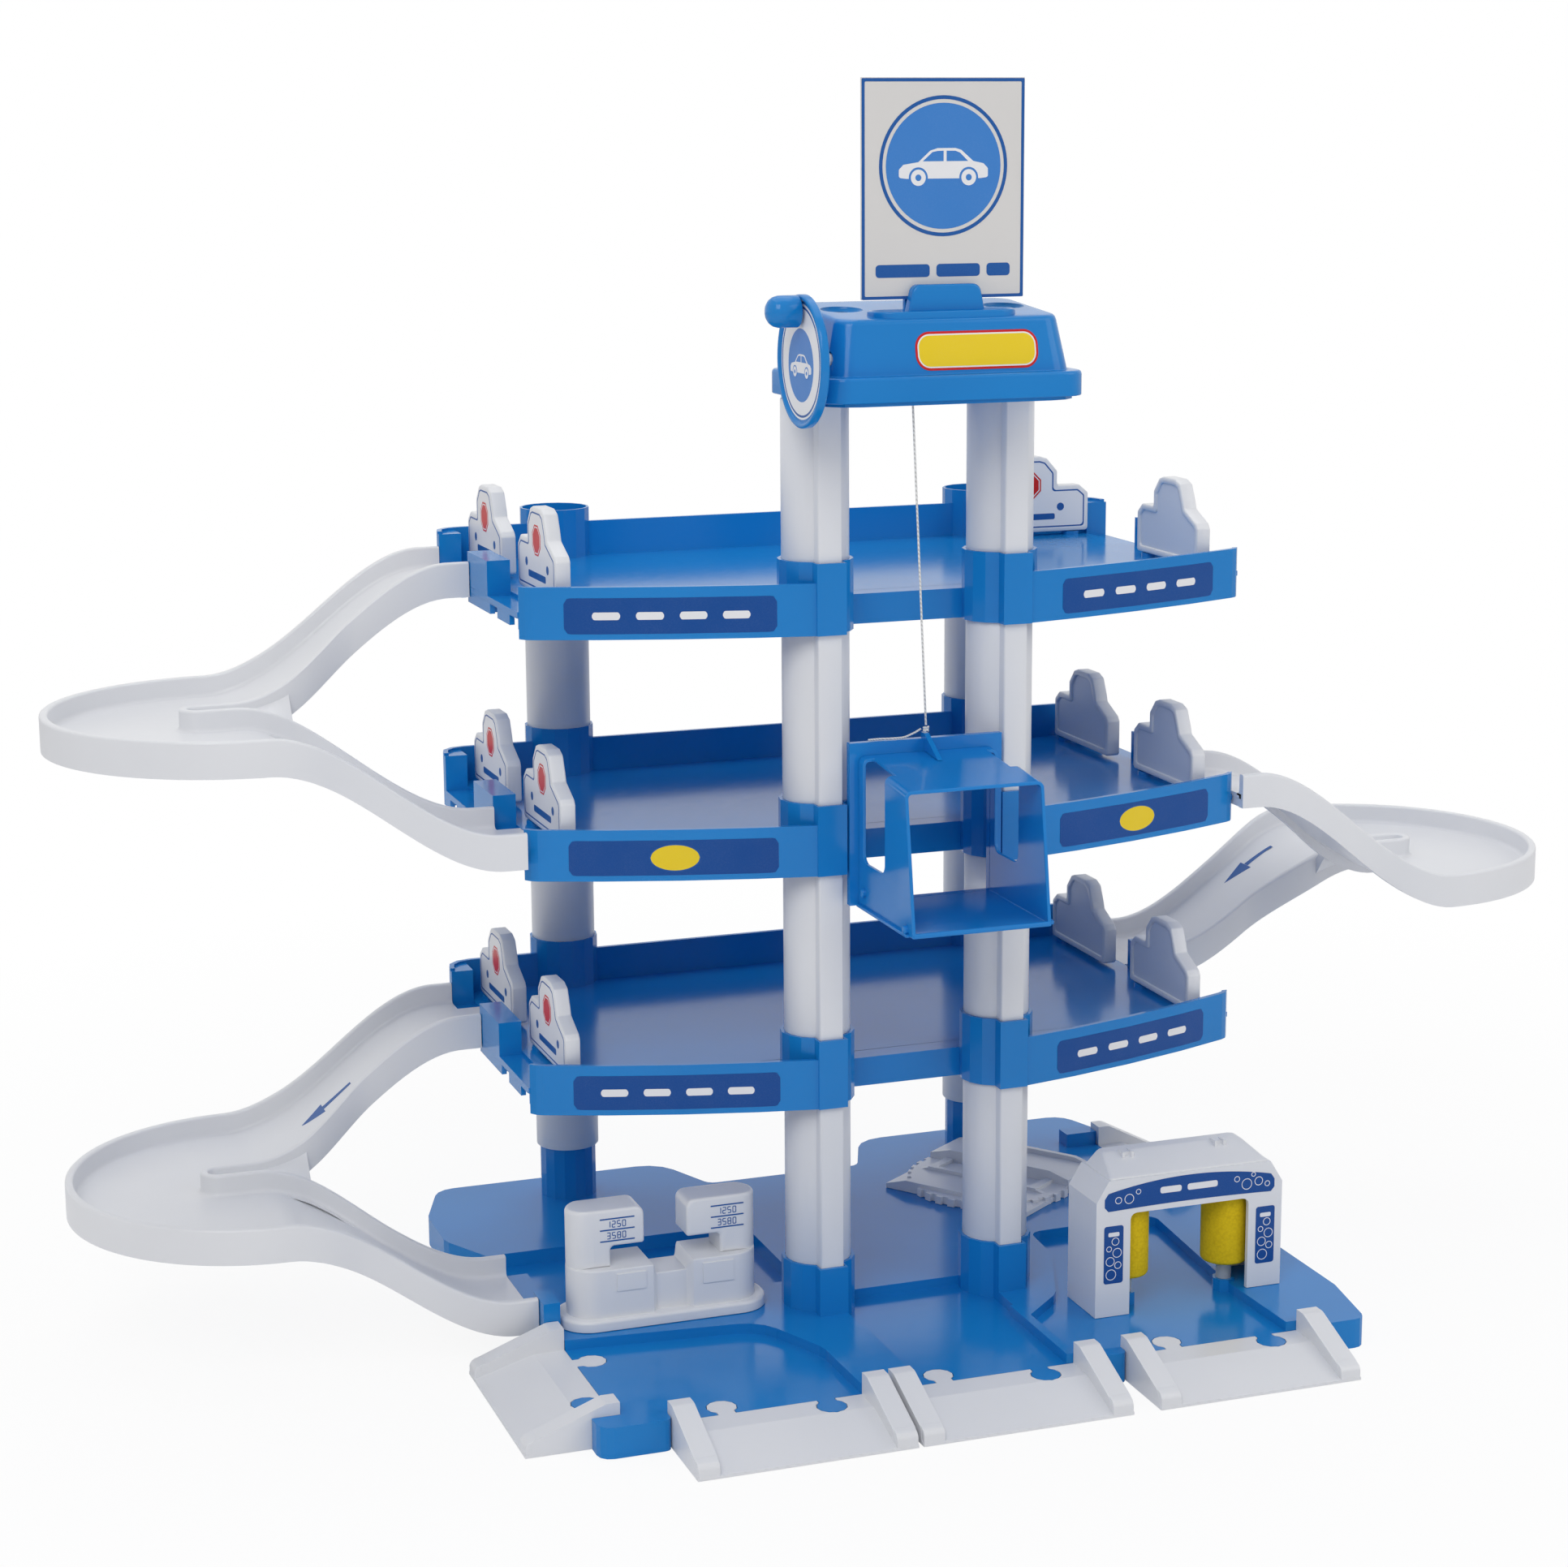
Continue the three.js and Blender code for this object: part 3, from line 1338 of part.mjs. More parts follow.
function stringSolid() {
  const foot = new THREE.Vector3(0, 0, knotZ + cord.knot + fit);
  const top = new THREE.Vector3(stringTop.x, stringTop.y, stringTop.z);
  return cordSolid(new THREE.LineCurve3(foot, top), 1);
}

// The string's loose end lies along the top of the lift's portal.
function tailSolid() {
  const rest = lift.frameTop + fit + winch.cordRadius;
  const points = tailPath.map(([x, y, rise]) => new THREE.Vector3(x, y, rest + rise));
  return cordSolid(new THREE.CatmullRomCurve3(points), 2 * tailPath.length);
}

function addPiece(name, solid, material, x = 0, y = 0, z = 0, turn = 0) {
  const mesh = new THREE.Mesh(toGeometry(solid), material);
  mesh.name = name;
  mesh.position.set(x, y, z);
  mesh.rotation.z = turn;
  garage.add(mesh);
}

const garage = new THREE.Group();
const levelNames = ["lower", "middle", "upper"];
const sideNames = { "-1": "left", 1: "right" };
addPiece("base_plate", baseSolid(), blue);

const deckPiece = deckSolid();
levelNames.forEach((name, level) => addPiece(`deck_${name}`, deckPiece, blue, 0, 0, floorOf(level)));

// The columns stand in the socket below and reach into the deck, or the roof tray, above.
const deckFeet = levelNames.map((name, level) => floorOf(level));
const frontFeet = [
  base.socketTop - base.socket,
  ...deckFeet.map((foot) => foot + clamp.top - clamp.socket),
];
const frontTops = [...deckFeet.map((foot) => foot + footSocket), shaftTop + head.trayFoot];
const backFeet = [
  base.stubTop,
  ...deckFeet.slice(0, -1).map((foot) => foot + collar.top - collar.socket),
];
const backTops = deckFeet.map((foot) => foot + deck.skirtFoot + footSocket);
for (const side of [-1, 1]) {
  frontFeet.forEach((foot, i) => {
    const solid = frontColumnSolid(frontTops[i] - foot - 2 * fit);
    const name = `front_column_${sideNames[side]}_${i + 1}`;
    addPiece(name, solid, white, side * frontColumn.x, frontColumn.y, foot + fit);
  });
  backFeet.forEach((foot, i) => {
    const solid = backColumnSolid(backTops[i] - foot - 2 * fit);
    const name = `back_column_${sideNames[side]}_${i + 1}`;
    addPiece(name, solid, white, side * backColumn.x, backColumn.y, foot + fit);
  });
}

const barrierPieces = { "-1": barrierSolid(-1), 1: barrierSolid(1) };
levelNames.forEach((name, level) => {
  for (const side of [-1, 1]) {
    for (const [place, pivot] of [["front", barrier.frontPivot], ["back", barrier.backPivot]]) {
      const isOpen = level === 2 && side === 1 && place === "back";
      const foot = floorOf(level) + deck.floorTop + barrier.lift;
      const turn = isOpen ? (-side * Math.PI) / 2 : 0;
      const label = `barrier_${name}_${sideNames[side]}_${place}`;
      addPiece(label, barrierPieces[side], white, side * barrier.x, pivot, foot, turn);
    }
  }
});

const loopPiece = loopSolid();
addPiece("loop_ramp_left_upper", loopPiece, white, 0, loop.axisY, floorOf(1));
addPiece("loop_ramp_left_lower", loopPiece, white, 0, loop.axisY, firstDeck - levelRise);
addPiece("loop_ramp_right", loopPiece, white, 0, loop.axisY, floorOf(0), Math.PI);

for (const place of entrancePlaces) {
  const solid = entranceSolid(entranceFloor(place));
  addPiece(`entrance_ramp_${place.name}`, solid, white, place.x, place.y, 0, place.turn);
}

addPiece("fuel_island", islandSolid(), white);
addPiece("fuel_pump_left", pumpSolid(-1), white);
addPiece("fuel_pump_right", pumpSolid(1), white);

addPiece("wash_arch", washArchSolid(), white);
addPiece("wash_roof", washRoofSolid(), white);
rollerPlaces.forEach((x, i) => {
  const side = ["left", "right"][i];
  addPiece(`wash_roller_${side}`, rollerSolid(), yellow, x, middle(wash.y));
  addPiece(`wash_shaft_${side}`, rollerShaftSolid(), white, x, middle(wash.y));
});
const rackPlace = [halfLength - rack.fromEnd, deckDepth - rack.fromWall, base.plateau + fit];
addPiece("service_rack", rackSolid(), white, ...rackPlace, rack.turn);

const winchPlace = [0, winch.y, shaftTop + winch.z];
addPiece("roof_cap", roofCapSolid(), blue, 0, 0, shaftTop);
addPiece("roof_tray", roofTraySolid(), blue, 0, 0, shaftTop);
addPiece("winch_axle", winchSolid(), white, ...winchPlace);
addPiece("crank_disc", crankDiscSolid(), blue, ...winchPlace);
addPiece("crank_knob", crankKnobSolid(), blue, ...winchPlace);
addPiece("sign_holder", signHolderSolid(), blue, 0, 0, shaftTop);
addPiece("sign_board", signBoardSolid(), card, 0, 0, shaftTop);

const liftPlace = [0, 0, lift.foot];
addPiece("lift_cabin", cabinSolid(), brightBlue, ...liftPlace);
addPiece("lift_frame", liftFrameSolid(), brightBlue, ...liftPlace);
addPiece("lift_string", stringSolid(), twine, ...liftPlace);
const knot = new THREE.SphereGeometry(cord.knot, pinSides, pinSides / 2);
addPiece("string_knot", toSolid(knot.translate(0, 0, knotZ)), twine, ...liftPlace);
addPiece("string_tail", tailSolid(), twine, ...liftPlace);

// The finished group stands with its box's middle over the origin.
const frontEdge = -base.apron - entrance.length;
garage.position.y = -middle([frontEdge, deckDepth + base.lobe]);

export default garage;
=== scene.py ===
# Toy parking garage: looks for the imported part, in metres, in the part's own frame.
# Places in the pieces are in mm as (x, y, z): X from the shaft's middle, Y from the front
# clamps, Z from the floor.
import json
import math

import bmesh
import bpy
from mathutils import Matrix, Vector


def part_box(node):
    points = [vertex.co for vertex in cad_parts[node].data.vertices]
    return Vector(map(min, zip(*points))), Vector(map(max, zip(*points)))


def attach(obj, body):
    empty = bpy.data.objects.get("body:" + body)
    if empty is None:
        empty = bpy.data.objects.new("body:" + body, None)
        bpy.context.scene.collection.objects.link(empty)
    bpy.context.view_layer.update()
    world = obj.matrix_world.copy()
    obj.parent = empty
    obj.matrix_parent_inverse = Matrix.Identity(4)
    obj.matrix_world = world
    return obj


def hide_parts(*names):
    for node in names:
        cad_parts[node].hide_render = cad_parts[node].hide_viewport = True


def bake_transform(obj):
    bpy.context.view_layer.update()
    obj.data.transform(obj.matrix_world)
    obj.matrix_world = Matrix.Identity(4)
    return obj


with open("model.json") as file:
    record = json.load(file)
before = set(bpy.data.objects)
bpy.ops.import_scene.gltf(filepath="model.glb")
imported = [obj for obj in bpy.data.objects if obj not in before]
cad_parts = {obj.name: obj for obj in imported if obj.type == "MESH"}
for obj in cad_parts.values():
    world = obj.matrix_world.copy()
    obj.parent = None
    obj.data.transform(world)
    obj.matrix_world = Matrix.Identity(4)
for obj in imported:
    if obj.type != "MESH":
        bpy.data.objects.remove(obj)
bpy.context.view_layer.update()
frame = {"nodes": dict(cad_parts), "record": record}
mm = 0.001
yShift = -72.55  # the frame's middle, from the front clamps
levels = {"lower": 146, "middle": 286, "upper": 426}
sides = {"left": -1, "right": 1}
shaftTop = 566
floorHeight = 17.5


def at(x, y, z):
    return Vector((x, y + yShift, z)) * mm


def between(start, end, share):
    return start + (end - start) * share


def eased(share):
    share = min(max(share, 0), 1)
    return share * share * (3 - 2 * share)


# camera

view = {
    "place": (-0.66588, -1.71376, 0.70562),
    "yaw": 0.33908,
    "pitch": 0.20562,
    "roll": -0.00644,
    "lens": 71.675,
}


def makeCamera():
    camera = bpy.data.objects.new("camera", bpy.data.cameras.new("camera"))
    bpy.context.collection.objects.link(camera)
    yaw, pitch, roll = view["yaw"], view["pitch"], view["roll"]
    look = Vector((math.sin(yaw) * math.cos(pitch), math.cos(yaw) * math.cos(pitch), -math.sin(pitch)))
    right = Vector((math.cos(yaw), -math.sin(yaw), 0))
    up = right.cross(look)
    turnedRight = right * math.cos(roll) + up * math.sin(roll)
    turnedUp = up * math.cos(roll) - right * math.sin(roll)
    axes = Matrix((turnedRight, turnedUp, -look)).transposed().to_4x4()
    axes.translation = view["place"]
    camera.matrix_world = axes
    camera.data.lens = view["lens"]
    camera.data.sensor_width = 36
    camera.data.clip_end = 20
    bpy.context.scene.camera = camera
    print("camera placed")


# stage and light

studio = {
    "floorSize": 16,
    "floorDrop": 0.0004,
    "floorGlow": (0.9, 1.0),  # share of plain white, near the garage and far from it
    "fade": (0.5, 1.1),
    "target": (0, 0, 0.3),
    "key": {"place": (-1.5, -2.2, 2.6), "size": 1.8, "power": 36},
    "fill": {"place": (1.9, -1.6, 1.7), "size": 1.8, "power": 13},
    "top": {"place": (0.0, 0.6, 2.8), "size": 2.2, "power": 15},
    "worldGloss": 0.55,
    "worldLight": (0.36, 0.7),  # from the front, where the room is darker, and from the back
    "worldTurn": (-0.6, 0.6),
}


def mathNode(nodes, links, operation, first, second=None):
    node = nodes.new("ShaderNodeMath")
    node.operation = operation
    for socket, value in zip(node.inputs, (first, second)):
        if value is None:
            continue
        if isinstance(value, (int, float)):
            socket.default_value = value
        else:
            links.new(value, socket)
    return node.outputs[0]


def mapped(nodes, links, value, source, target):
    # a value carried over from one range to another, and held at its ends
    node = nodes.new("ShaderNodeMapRange")
    for name, number in zip(("From Min", "From Max", "To Min", "To Max"), (*source, *target)):
        node.inputs[name].default_value = number
    links.new(value, node.inputs["Value"])
    return node.outputs[0]


def makeWorld():
    world = bpy.data.worlds.new("studio")
    bpy.context.scene.world = world
    world.use_nodes = True
    nodes, links = world.node_tree.nodes, world.node_tree.links
    nodes.clear()
    light = nodes.new("ShaderNodeBackground")
    light.inputs["Color"].default_value = (1, 1, 1, 1)
    direction = nodes.new("ShaderNodeTexCoord")
    parts = nodes.new("ShaderNodeSeparateXYZ")
    links.new(direction.outputs["Generated"], parts.inputs[0])
    strength = mapped(nodes, links, parts.outputs["Y"], studio["worldTurn"], studio["worldLight"])
    links.new(strength, light.inputs["Strength"])
    seen = nodes.new("ShaderNodeBackground")
    seen.inputs["Color"].default_value = (1, 1, 1, 1)
    seen.inputs["Strength"].default_value = 1
    paths = nodes.new("ShaderNodeLightPath")
    straight, through = paths.outputs["Is Camera Ray"], paths.outputs["Is Transmission Ray"]
    plain = mathNode(nodes, links, "MAXIMUM", straight, through)
    gloss = mathNode(nodes, links, "MULTIPLY", paths.outputs["Is Glossy Ray"], studio["worldGloss"])
    mix = nodes.new("ShaderNodeMixShader")
    links.new(mathNode(nodes, links, "MAXIMUM", plain, gloss), mix.inputs[0])
    links.new(light.outputs[0], mix.inputs[1])
    links.new(seen.outputs[0], mix.inputs[2])
    out = nodes.new("ShaderNodeOutputWorld")
    links.new(mix.outputs[0], out.inputs[0])


def makeFloor():
    # the floor shows soft shadows close by and goes over into plain white further out
    half = studio["floorSize"] / 2
    mesh = bpy.data.meshes.new("floor")
    corners = [(-half, -half, 0), (half, -half, 0), (half, half, 0), (-half, half, 0)]
    mesh.from_pydata(corners, [], [(0, 1, 2, 3)])
    floor = bpy.data.objects.new("floor", mesh)
    floor.location.z = -studio["floorDrop"]
    bpy.context.collection.objects.link(floor)
    material = bpy.data.materials.new("pale floor")
    material.use_nodes = True
    nodes, links = material.node_tree.nodes, material.node_tree.links
    shader = nodes["Principled BSDF"]
    shader.inputs["Base Color"].default_value = (0.93, 0.93, 0.94, 1)
    shader.inputs["Roughness"].default_value = 0.7
    shader.inputs["Specular IOR Level"].default_value = 0.2
    place = nodes.new("ShaderNodeTexCoord")
    away = nodes.new("ShaderNodeVectorMath")
    away.operation = "LENGTH"
    links.new(place.outputs["Object"], away.inputs[0])
    reach = mapped(nodes, links, away.outputs["Value"], studio["fade"], studio["floorGlow"])
    paths = nodes.new("ShaderNodeLightPath")
    share = mathNode(nodes, links, "MULTIPLY", reach, paths.outputs["Is Camera Ray"])
    glow = nodes.new("ShaderNodeEmission")
    mix = nodes.new("ShaderNodeMixShader")
    links.new(share, mix.inputs[0])
    links.new(shader.outputs[0], mix.inputs[1])
    links.new(glow.outputs[0], mix.inputs[2])
    links.new(mix.outputs[0], nodes["Material Output"].inputs[0])
    floor.data.materials.append(material)


def makeLamps():
    for name in ("key", "fill", "top"):
        lamp = studio[name]
        light = bpy.data.lights.new(name, "AREA")
        light.size = lamp["size"]
        light.energy = lamp["power"]
        holder = bpy.data.objects.new(name, light)
        holder.location = lamp["place"]
        holder.rotation_mode = "QUATERNION"
        toTarget = Vector(studio["target"]) - holder.location
        holder.rotation_quaternion = toTarget.to_track_quat("-Z", "Y")
        bpy.context.collection.objects.link(holder)
    print("stage and lamps placed")


# materials

def startMaterial(name):
    material = bpy.data.materials.new(name)
    material.use_nodes = True
    nodes, links = material.node_tree.nodes, material.node_tree.links
    shader = nodes["Principled BSDF"]
    place = nodes.new("ShaderNodeTexCoord")
    return material, nodes, links, shader, place.outputs["Object"]


def noiseAt(nodes, links, place, scale, detail=2.0, rough=0.5):
    noise = nodes.new("ShaderNodeTexNoise")
    noise.inputs["Scale"].default_value = scale
    noise.inputs["Detail"].default_value = detail
    noise.inputs["Roughness"].default_value = rough
    links.new(place, noise.inputs["Vector"])
    return noise.outputs["Fac"]


def rampBetween(nodes, links, value, low, high, places=(0.35, 0.65)):
    ramp = nodes.new("ShaderNodeValToRGB")
    ramp.color_ramp.elements[0].position = places[0]
    ramp.color_ramp.elements[1].position = places[1]
    ramp.color_ramp.elements[0].color = low
    ramp.color_ramp.elements[1].color = high
    links.new(value, ramp.inputs[0])
    return ramp.outputs["Color"]


def bumpFrom(nodes, links, height, strength, distance, normal=None):
    bump = nodes.new("ShaderNodeBump")
    bump.inputs["Strength"].default_value = strength
    bump.inputs["Distance"].default_value = distance
    links.new(height, bump.inputs["Height"])
    if normal is not None:
        links.new(normal, bump.inputs["Normal"])
    return bump.outputs[0]


def grey(value):
    return (value, value, value, 1)


def mouldedPlastic(name, colour, shade, roughness, gloss=0.5, grain=0.02, flow=0.06, wear=0.06):
    # slow colour drift and sink marks, fine moulding grain, faint scuffs that dull the gloss
    material, nodes, links, shader, place = startMaterial(name)
    drift = noiseAt(nodes, links, place, 9)
    colours = rampBetween(nodes, links, drift, (*shade, 1), (*colour, 1), (0.3, 0.7))
    links.new(colours, shader.inputs["Base Color"])
    scuff = noiseAt(nodes, links, place, 160, 6, 0.7)
    rough = rampBetween(nodes, links, scuff, grey(roughness), grey(roughness + wear), (0.45, 0.75))
    links.new(rough, shader.inputs["Roughness"])
    shader.inputs["Specular IOR Level"].default_value = gloss
    slow = bumpFrom(nodes, links, noiseAt(nodes, links, place, 26, 1), flow, 0.0012)
    fine = bumpFrom(nodes, links, noiseAt(nodes, links, place, 900), grain, 0.0003, slow)
    links.new(fine, shader.inputs["Normal"])
    return material


def printedInk(name, colour, roughness=0.28):
    # ink on film: a faint screen of dots and an uneven sheen
    material, nodes, links, shader, place = startMaterial(name)
    paler = tuple(between(value, 1, 0.012) for value in colour)
    screen = nodes.new("ShaderNodeTexVoronoi")
    screen.inputs["Scale"].default_value = 1400
    links.new(place, screen.inputs["Vector"])
    patches = noiseAt(nodes, links, place, 40)
    mottle = mathNode(nodes, links, "MULTIPLY", screen.outputs["Distance"], patches)
    colours = rampBetween(nodes, links, mottle, (*colour, 1), (*paler, 1), (0.1, 0.5))
    links.new(colours, shader.inputs["Base Color"])
    uneven = noiseAt(nodes, links, place, 90, 4)
    sheen = rampBetween(nodes, links, uneven, grey(roughness), grey(roughness + 0.08))
    links.new(sheen, shader.inputs["Roughness"])
    shader.inputs["Specular IOR Level"].default_value = 0.25
    ripple = bumpFrom(nodes, links, noiseAt(nodes, links, place, 55, 1), 0.05, 0.0006)
    links.new(ripple, shader.inputs["Normal"])
    return material


def spongeFoam():
    # open cells of two sizes, with painted shade that darkens their depths
    material, nodes, links, shader, place = startMaterial("yellow foam")
    cells = nodes.new("ShaderNodeTexVoronoi")
    cells.inputs["Scale"].default_value = 620
    links.new(place, cells.inputs["Vector"])
    pores = noiseAt(nodes, links, place, 260, 5, 0.65)
    depth = mathNode(nodes, links, "MULTIPLY", cells.outputs["Distance"], pores)
    # painted shade: the colour goes darker deep in the cells and pores
    colours = rampBetween(nodes, links, depth, (0.82, 0.58, 0.01, 1), (0.7, 0.47, 0.006, 1), (0.1, 0.5))
    links.new(colours, shader.inputs["Base Color"])
    shader.inputs["Roughness"].default_value = 0.85
    shader.inputs["Specular IOR Level"].default_value = 0.25
    rough = bumpFrom(nodes, links, pores, 0.3, 0.0006)
    pitted = bumpFrom(nodes, links, cells.outputs["Distance"], 0.25, 0.0004, rough)
    links.new(pitted, shader.inputs["Normal"])
    return material


def clearedPlastic(name, colour, share, roughness):
    # cloudy plastic that lets some light through
    material = mouldedPlastic(name, colour, tuple(value * 0.94 for value in colour), roughness)
    shader = material.node_tree.nodes["Principled BSDF"]
    shader.inputs["Transmission Weight"].default_value = share
    shader.inputs["IOR"].default_value = 1.46
    return material


def twistedTwine():
    # strands that wind along the string, with fine fibres over them, and painted shade that darkens the
    # grooves between strands and among the fibres
    material, nodes, links, shader, place = startMaterial("white twine")
    strands = nodes.new("ShaderNodeTexWave")
    strands.bands_direction = "DIAGONAL"
    strands.inputs["Scale"].default_value = 330
    strands.inputs["Distortion"].default_value = 1.5
    links.new(place, strands.inputs["Vector"])
    fibres = noiseAt(nodes, links, place, 2600, 4, 0.7)
    shadeAndBumpPattern = mathNode(nodes, links, "MULTIPLY", strands.outputs["Fac"], fibres)
    # painted shade: the colour is darker where the strand and fibre pattern is low
    colours = rampBetween(nodes, links, shadeAndBumpPattern, (0.6, 0.6, 0.58, 1), (0.87, 0.87, 0.85, 1), (0.05, 0.45))
    links.new(colours, shader.inputs["Base Color"])
    shader.inputs["Roughness"].default_value = 0.85
    links.new(bumpFrom(nodes, links, shadeAndBumpPattern, 0.6, 0.0003), shader.inputs["Normal"])
    return material


plasticColours = {
    "blue": [(0.009, 0.226, 0.62), (0.008, 0.205, 0.575)],
    "bright blue": [(0.01, 0.225, 0.64), (0.009, 0.205, 0.59)],
    "white": [(0.79, 0.8, 0.83), (0.755, 0.767, 0.8)],
    "frosted": [(0.7, 0.74, 0.82), (0.66, 0.7, 0.79)],
}
finishes = {
    "blue_plastic": mouldedPlastic("blue plastic", *plasticColours["blue"], 0.14, 0.32),
    "bright_blue_plastic": mouldedPlastic("bright blue plastic", *plasticColours["bright blue"], 0.12, 0.34),
    "white_plastic": mouldedPlastic("white plastic", *plasticColours["white"], 0.28, 0.45, 0.03),
    "roller_foam": spongeFoam(),
    "sign_card": printedInk("sign card", (0.7, 0.685, 0.67), 0.4),
    "twine": twistedTwine(),
    "frosted": mouldedPlastic("frosted face", *plasticColours["frosted"], 0.38, 0.4, 0.12),
    "cloudy": clearedPlastic("cloudy plastic", (0.8, 0.83, 0.88), 0.45, 0.22),
    "white ink": printedInk("white ink", (0.84, 0.84, 0.86)),
    "blue ink": printedInk("blue ink", (0.012, 0.1, 0.36)),
    "deep blue ink": printedInk("deep blue ink", (0.002, 0.068, 0.3)),
    "pale blue ink": printedInk("pale blue ink", (0.05, 0.22, 0.6)),
    "red ink": printedInk("red ink", (0.62, 0.012, 0.012)),
    "yellow ink": printedInk("yellow ink", (0.85, 0.62, 0.02)),
}


# mesh tools

def roundCorners(points, radius, steps=4):
    # every corner of a closed outline becomes an arc of the same number of steps
    radii = radius if isinstance(radius, list) else [radius] * len(points)
    rounded = []
    count = len(points)
    for index in range(count):
        before, corner, after = (Vector(points[(index + shift) % count]) for shift in (-1, 0, 1))
        back, on = before - corner, after - corner
        room = 0.46 * min(back.length, on.length)
        back.normalize()
        on.normalize()
        half = math.acos(max(-1, min(1, back.dot(on)))) / 2
        reach = min(radii[index] / max(math.tan(half), 0.05), room)
        start, end = corner + back * reach, corner + on * reach
        weight = math.sin(half)
        for step in range(steps + 1):
            share = step / steps
            parts = ((1 - share) ** 2, 2 * weight * share * (1 - share), share**2)
            place = start * parts[0] + corner * parts[1] + end * parts[2]
            rounded.append(tuple(place / sum(parts)))
    return rounded


def drawnIn(points, distance):
    # an anticlockwise outline moved inwards, its corners kept sharp
    moved = []
    count = len(points)
    for index in range(count):
        before, corner, after = (Vector(points[(index + shift) % count]) for shift in (-1, 0, 1))
        first, second = (corner - before).normalized(), (after - corner).normalized()
        normals = Vector((-first.y, first.x)), Vector((-second.y, second.x))
        middle = (normals[0] + normals[1]) / max(1 + normals[0].dot(normals[1]), 0.2)
        moved.append(tuple(corner + middle * distance))
    return moved


def roundedBox(x, y, radius, steps=8):
    return roundCorners([(x[0], y[0]), (x[1], y[0]), (x[1], y[1]), (x[0], y[1])], radius, steps)


def skin(rings, mark=0, closed=False):
    # a surface through rings of the same number of points, capped or closed on itself
    count = len(rings[0])
    points = [point for ring in rings for point in ring]
    faces = []
    last = len(rings) if closed else len(rings) - 1
    for ring in range(last):
        following = (ring + 1) % len(rings)
        for index in range(count):
            onward = (index + 1) % count
            start, end = ring * count, following * count
            faces.append((start + index, start + onward, end + onward, end + index))
    if not closed:
        faces.append(tuple(reversed(range(count))))
        faces.append(tuple(range(len(points) - count, len(points))))
    return points, faces, mark


def turned(profile, steps, place, mark=0, closed=False):
    # a profile of (radius, along) carried round an axis; place makes the point
    rings = []
    for step in range(steps):
        angle = 2 * math.pi * step / steps
        way = Vector((math.cos(angle), math.sin(angle)))
        rings.append([place(*way * radius, along) for radius, along in profile])
    return skin(list(zip(*rings)), mark, closed)


def boxShape(x, y, z, mark=0):
    rings = [[(x[0], y[0], h), (x[1], y[0], h), (x[1], y[1], h), (x[0], y[1], h)] for h in z]
    return skin(rings, mark)


# heights of printed layers over the surface that carries them
film = 0.14
layers = {"ground": (0, film), "mark": (0.1, 0.2), "card": (0.02, 0.12), "disc": (0.1, 0.18)}


def plate(points, place, low, high, mark=0):
    # a flat outline raised from one height to another, on the surface that place gives
    return skin([[place(u, v, low) for u, v in points], [place(u, v, high) for u, v in points]], mark)


def discPoints(x, z, radius, steps=48):
    angles = [2 * math.pi * step / steps for step in range(steps)]
    return [(x + radius * math.cos(angle), z + radius * math.sin(angle)) for angle in angles]


def frameShape(outside, inside, place, low, high, mark):
    # a flat frame between two outlines of the same number of points
    rings = [(outside, low), (outside, high), (inside, high), (inside, low)]
    return skin([[place(u, v, lift) for u, v in points] for points, lift in rings], mark, True)


def strip(start, end, edges, place, lift, mark=0, steps=24):
    # a shape between two edges, cut up along its length so that it follows a bent surface
    rows = []
    for step in range(steps + 1):
        along = between(start, end, step / steps)
        low, high = edges(along)
        section = ((low, 0), (low, lift), (high, lift), (high, 0))
        rows.append([place(along, across, up) for across, up in section])
    return skin(rows, mark)


thinnest = 0.0025  # keeps a rounded end from closing to a point


def roundedEdges(start, end, low, high, radius):
    # edges of a strip with round ends
    def edges(along):
        inside = min(along - start, end - along)
        if inside >= radius:
            return low, high
        cut = radius - math.sqrt(max(radius**2 - (radius - inside) ** 2, thinnest))
        return low + cut, high - cut

    return edges


def ovalEdges(middle, half, centre, height):
    def edges(along):
        rise = height * math.sqrt(max(1 - ((along - middle) / half) ** 2, thinnest))
        return centre - rise, centre + rise

    return edges


def geometryGroup(name):
    group = bpy.data.node_groups.new(name, "GeometryNodeTree")
    for way in ("INPUT", "OUTPUT"):
        group.interface.new_socket("Geometry", in_out=way, socket_type="NodeSocketGeometry")
    start, end = group.nodes.new("NodeGroupInput"), group.nodes.new("NodeGroupOutput")
    return group, start.outputs[0], end.inputs[0]


def smoothSwitch(limit):
    # shades smooth across edges flatter than the limit, as a modifier that leaves the points alone
    group, start, end = geometryGroup("smooth by angle")
    nodes, links = group.nodes, group.links
    angle = nodes.new("GeometryNodeInputMeshEdgeAngle")
    flat = nodes.new("FunctionNodeCompare")
    flat.data_type = "FLOAT"
    flat.operation = "LESS_THAN"
    flat.inputs[1].default_value = math.radians(limit)
    faces = nodes.new("GeometryNodeSetShadeSmooth")
    faces.domain = "FACE"
    edges = nodes.new("GeometryNodeSetShadeSmooth")
    edges.domain = "EDGE"
    links.new(start, faces.inputs["Geometry"])
    links.new(faces.outputs[0], edges.inputs["Geometry"])
    links.new(angle.outputs["Unsigned Angle"], flat.inputs[0])
    links.new(flat.outputs[0], edges.inputs["Shade Smooth"])
    links.new(edges.outputs[0], end)
    return group


def vectorNode(nodes, links, operation, first, second):
    node = nodes.new("ShaderNodeVectorMath")
    node.operation = operation
    links.new(first, node.inputs[0])
    links.new(second, node.inputs[1])
    return node


def splitVector(nodes, links, vector):
    parts = nodes.new("ShaderNodeSeparateXYZ")
    links.new(vector, parts.inputs[0])
    return parts.outputs


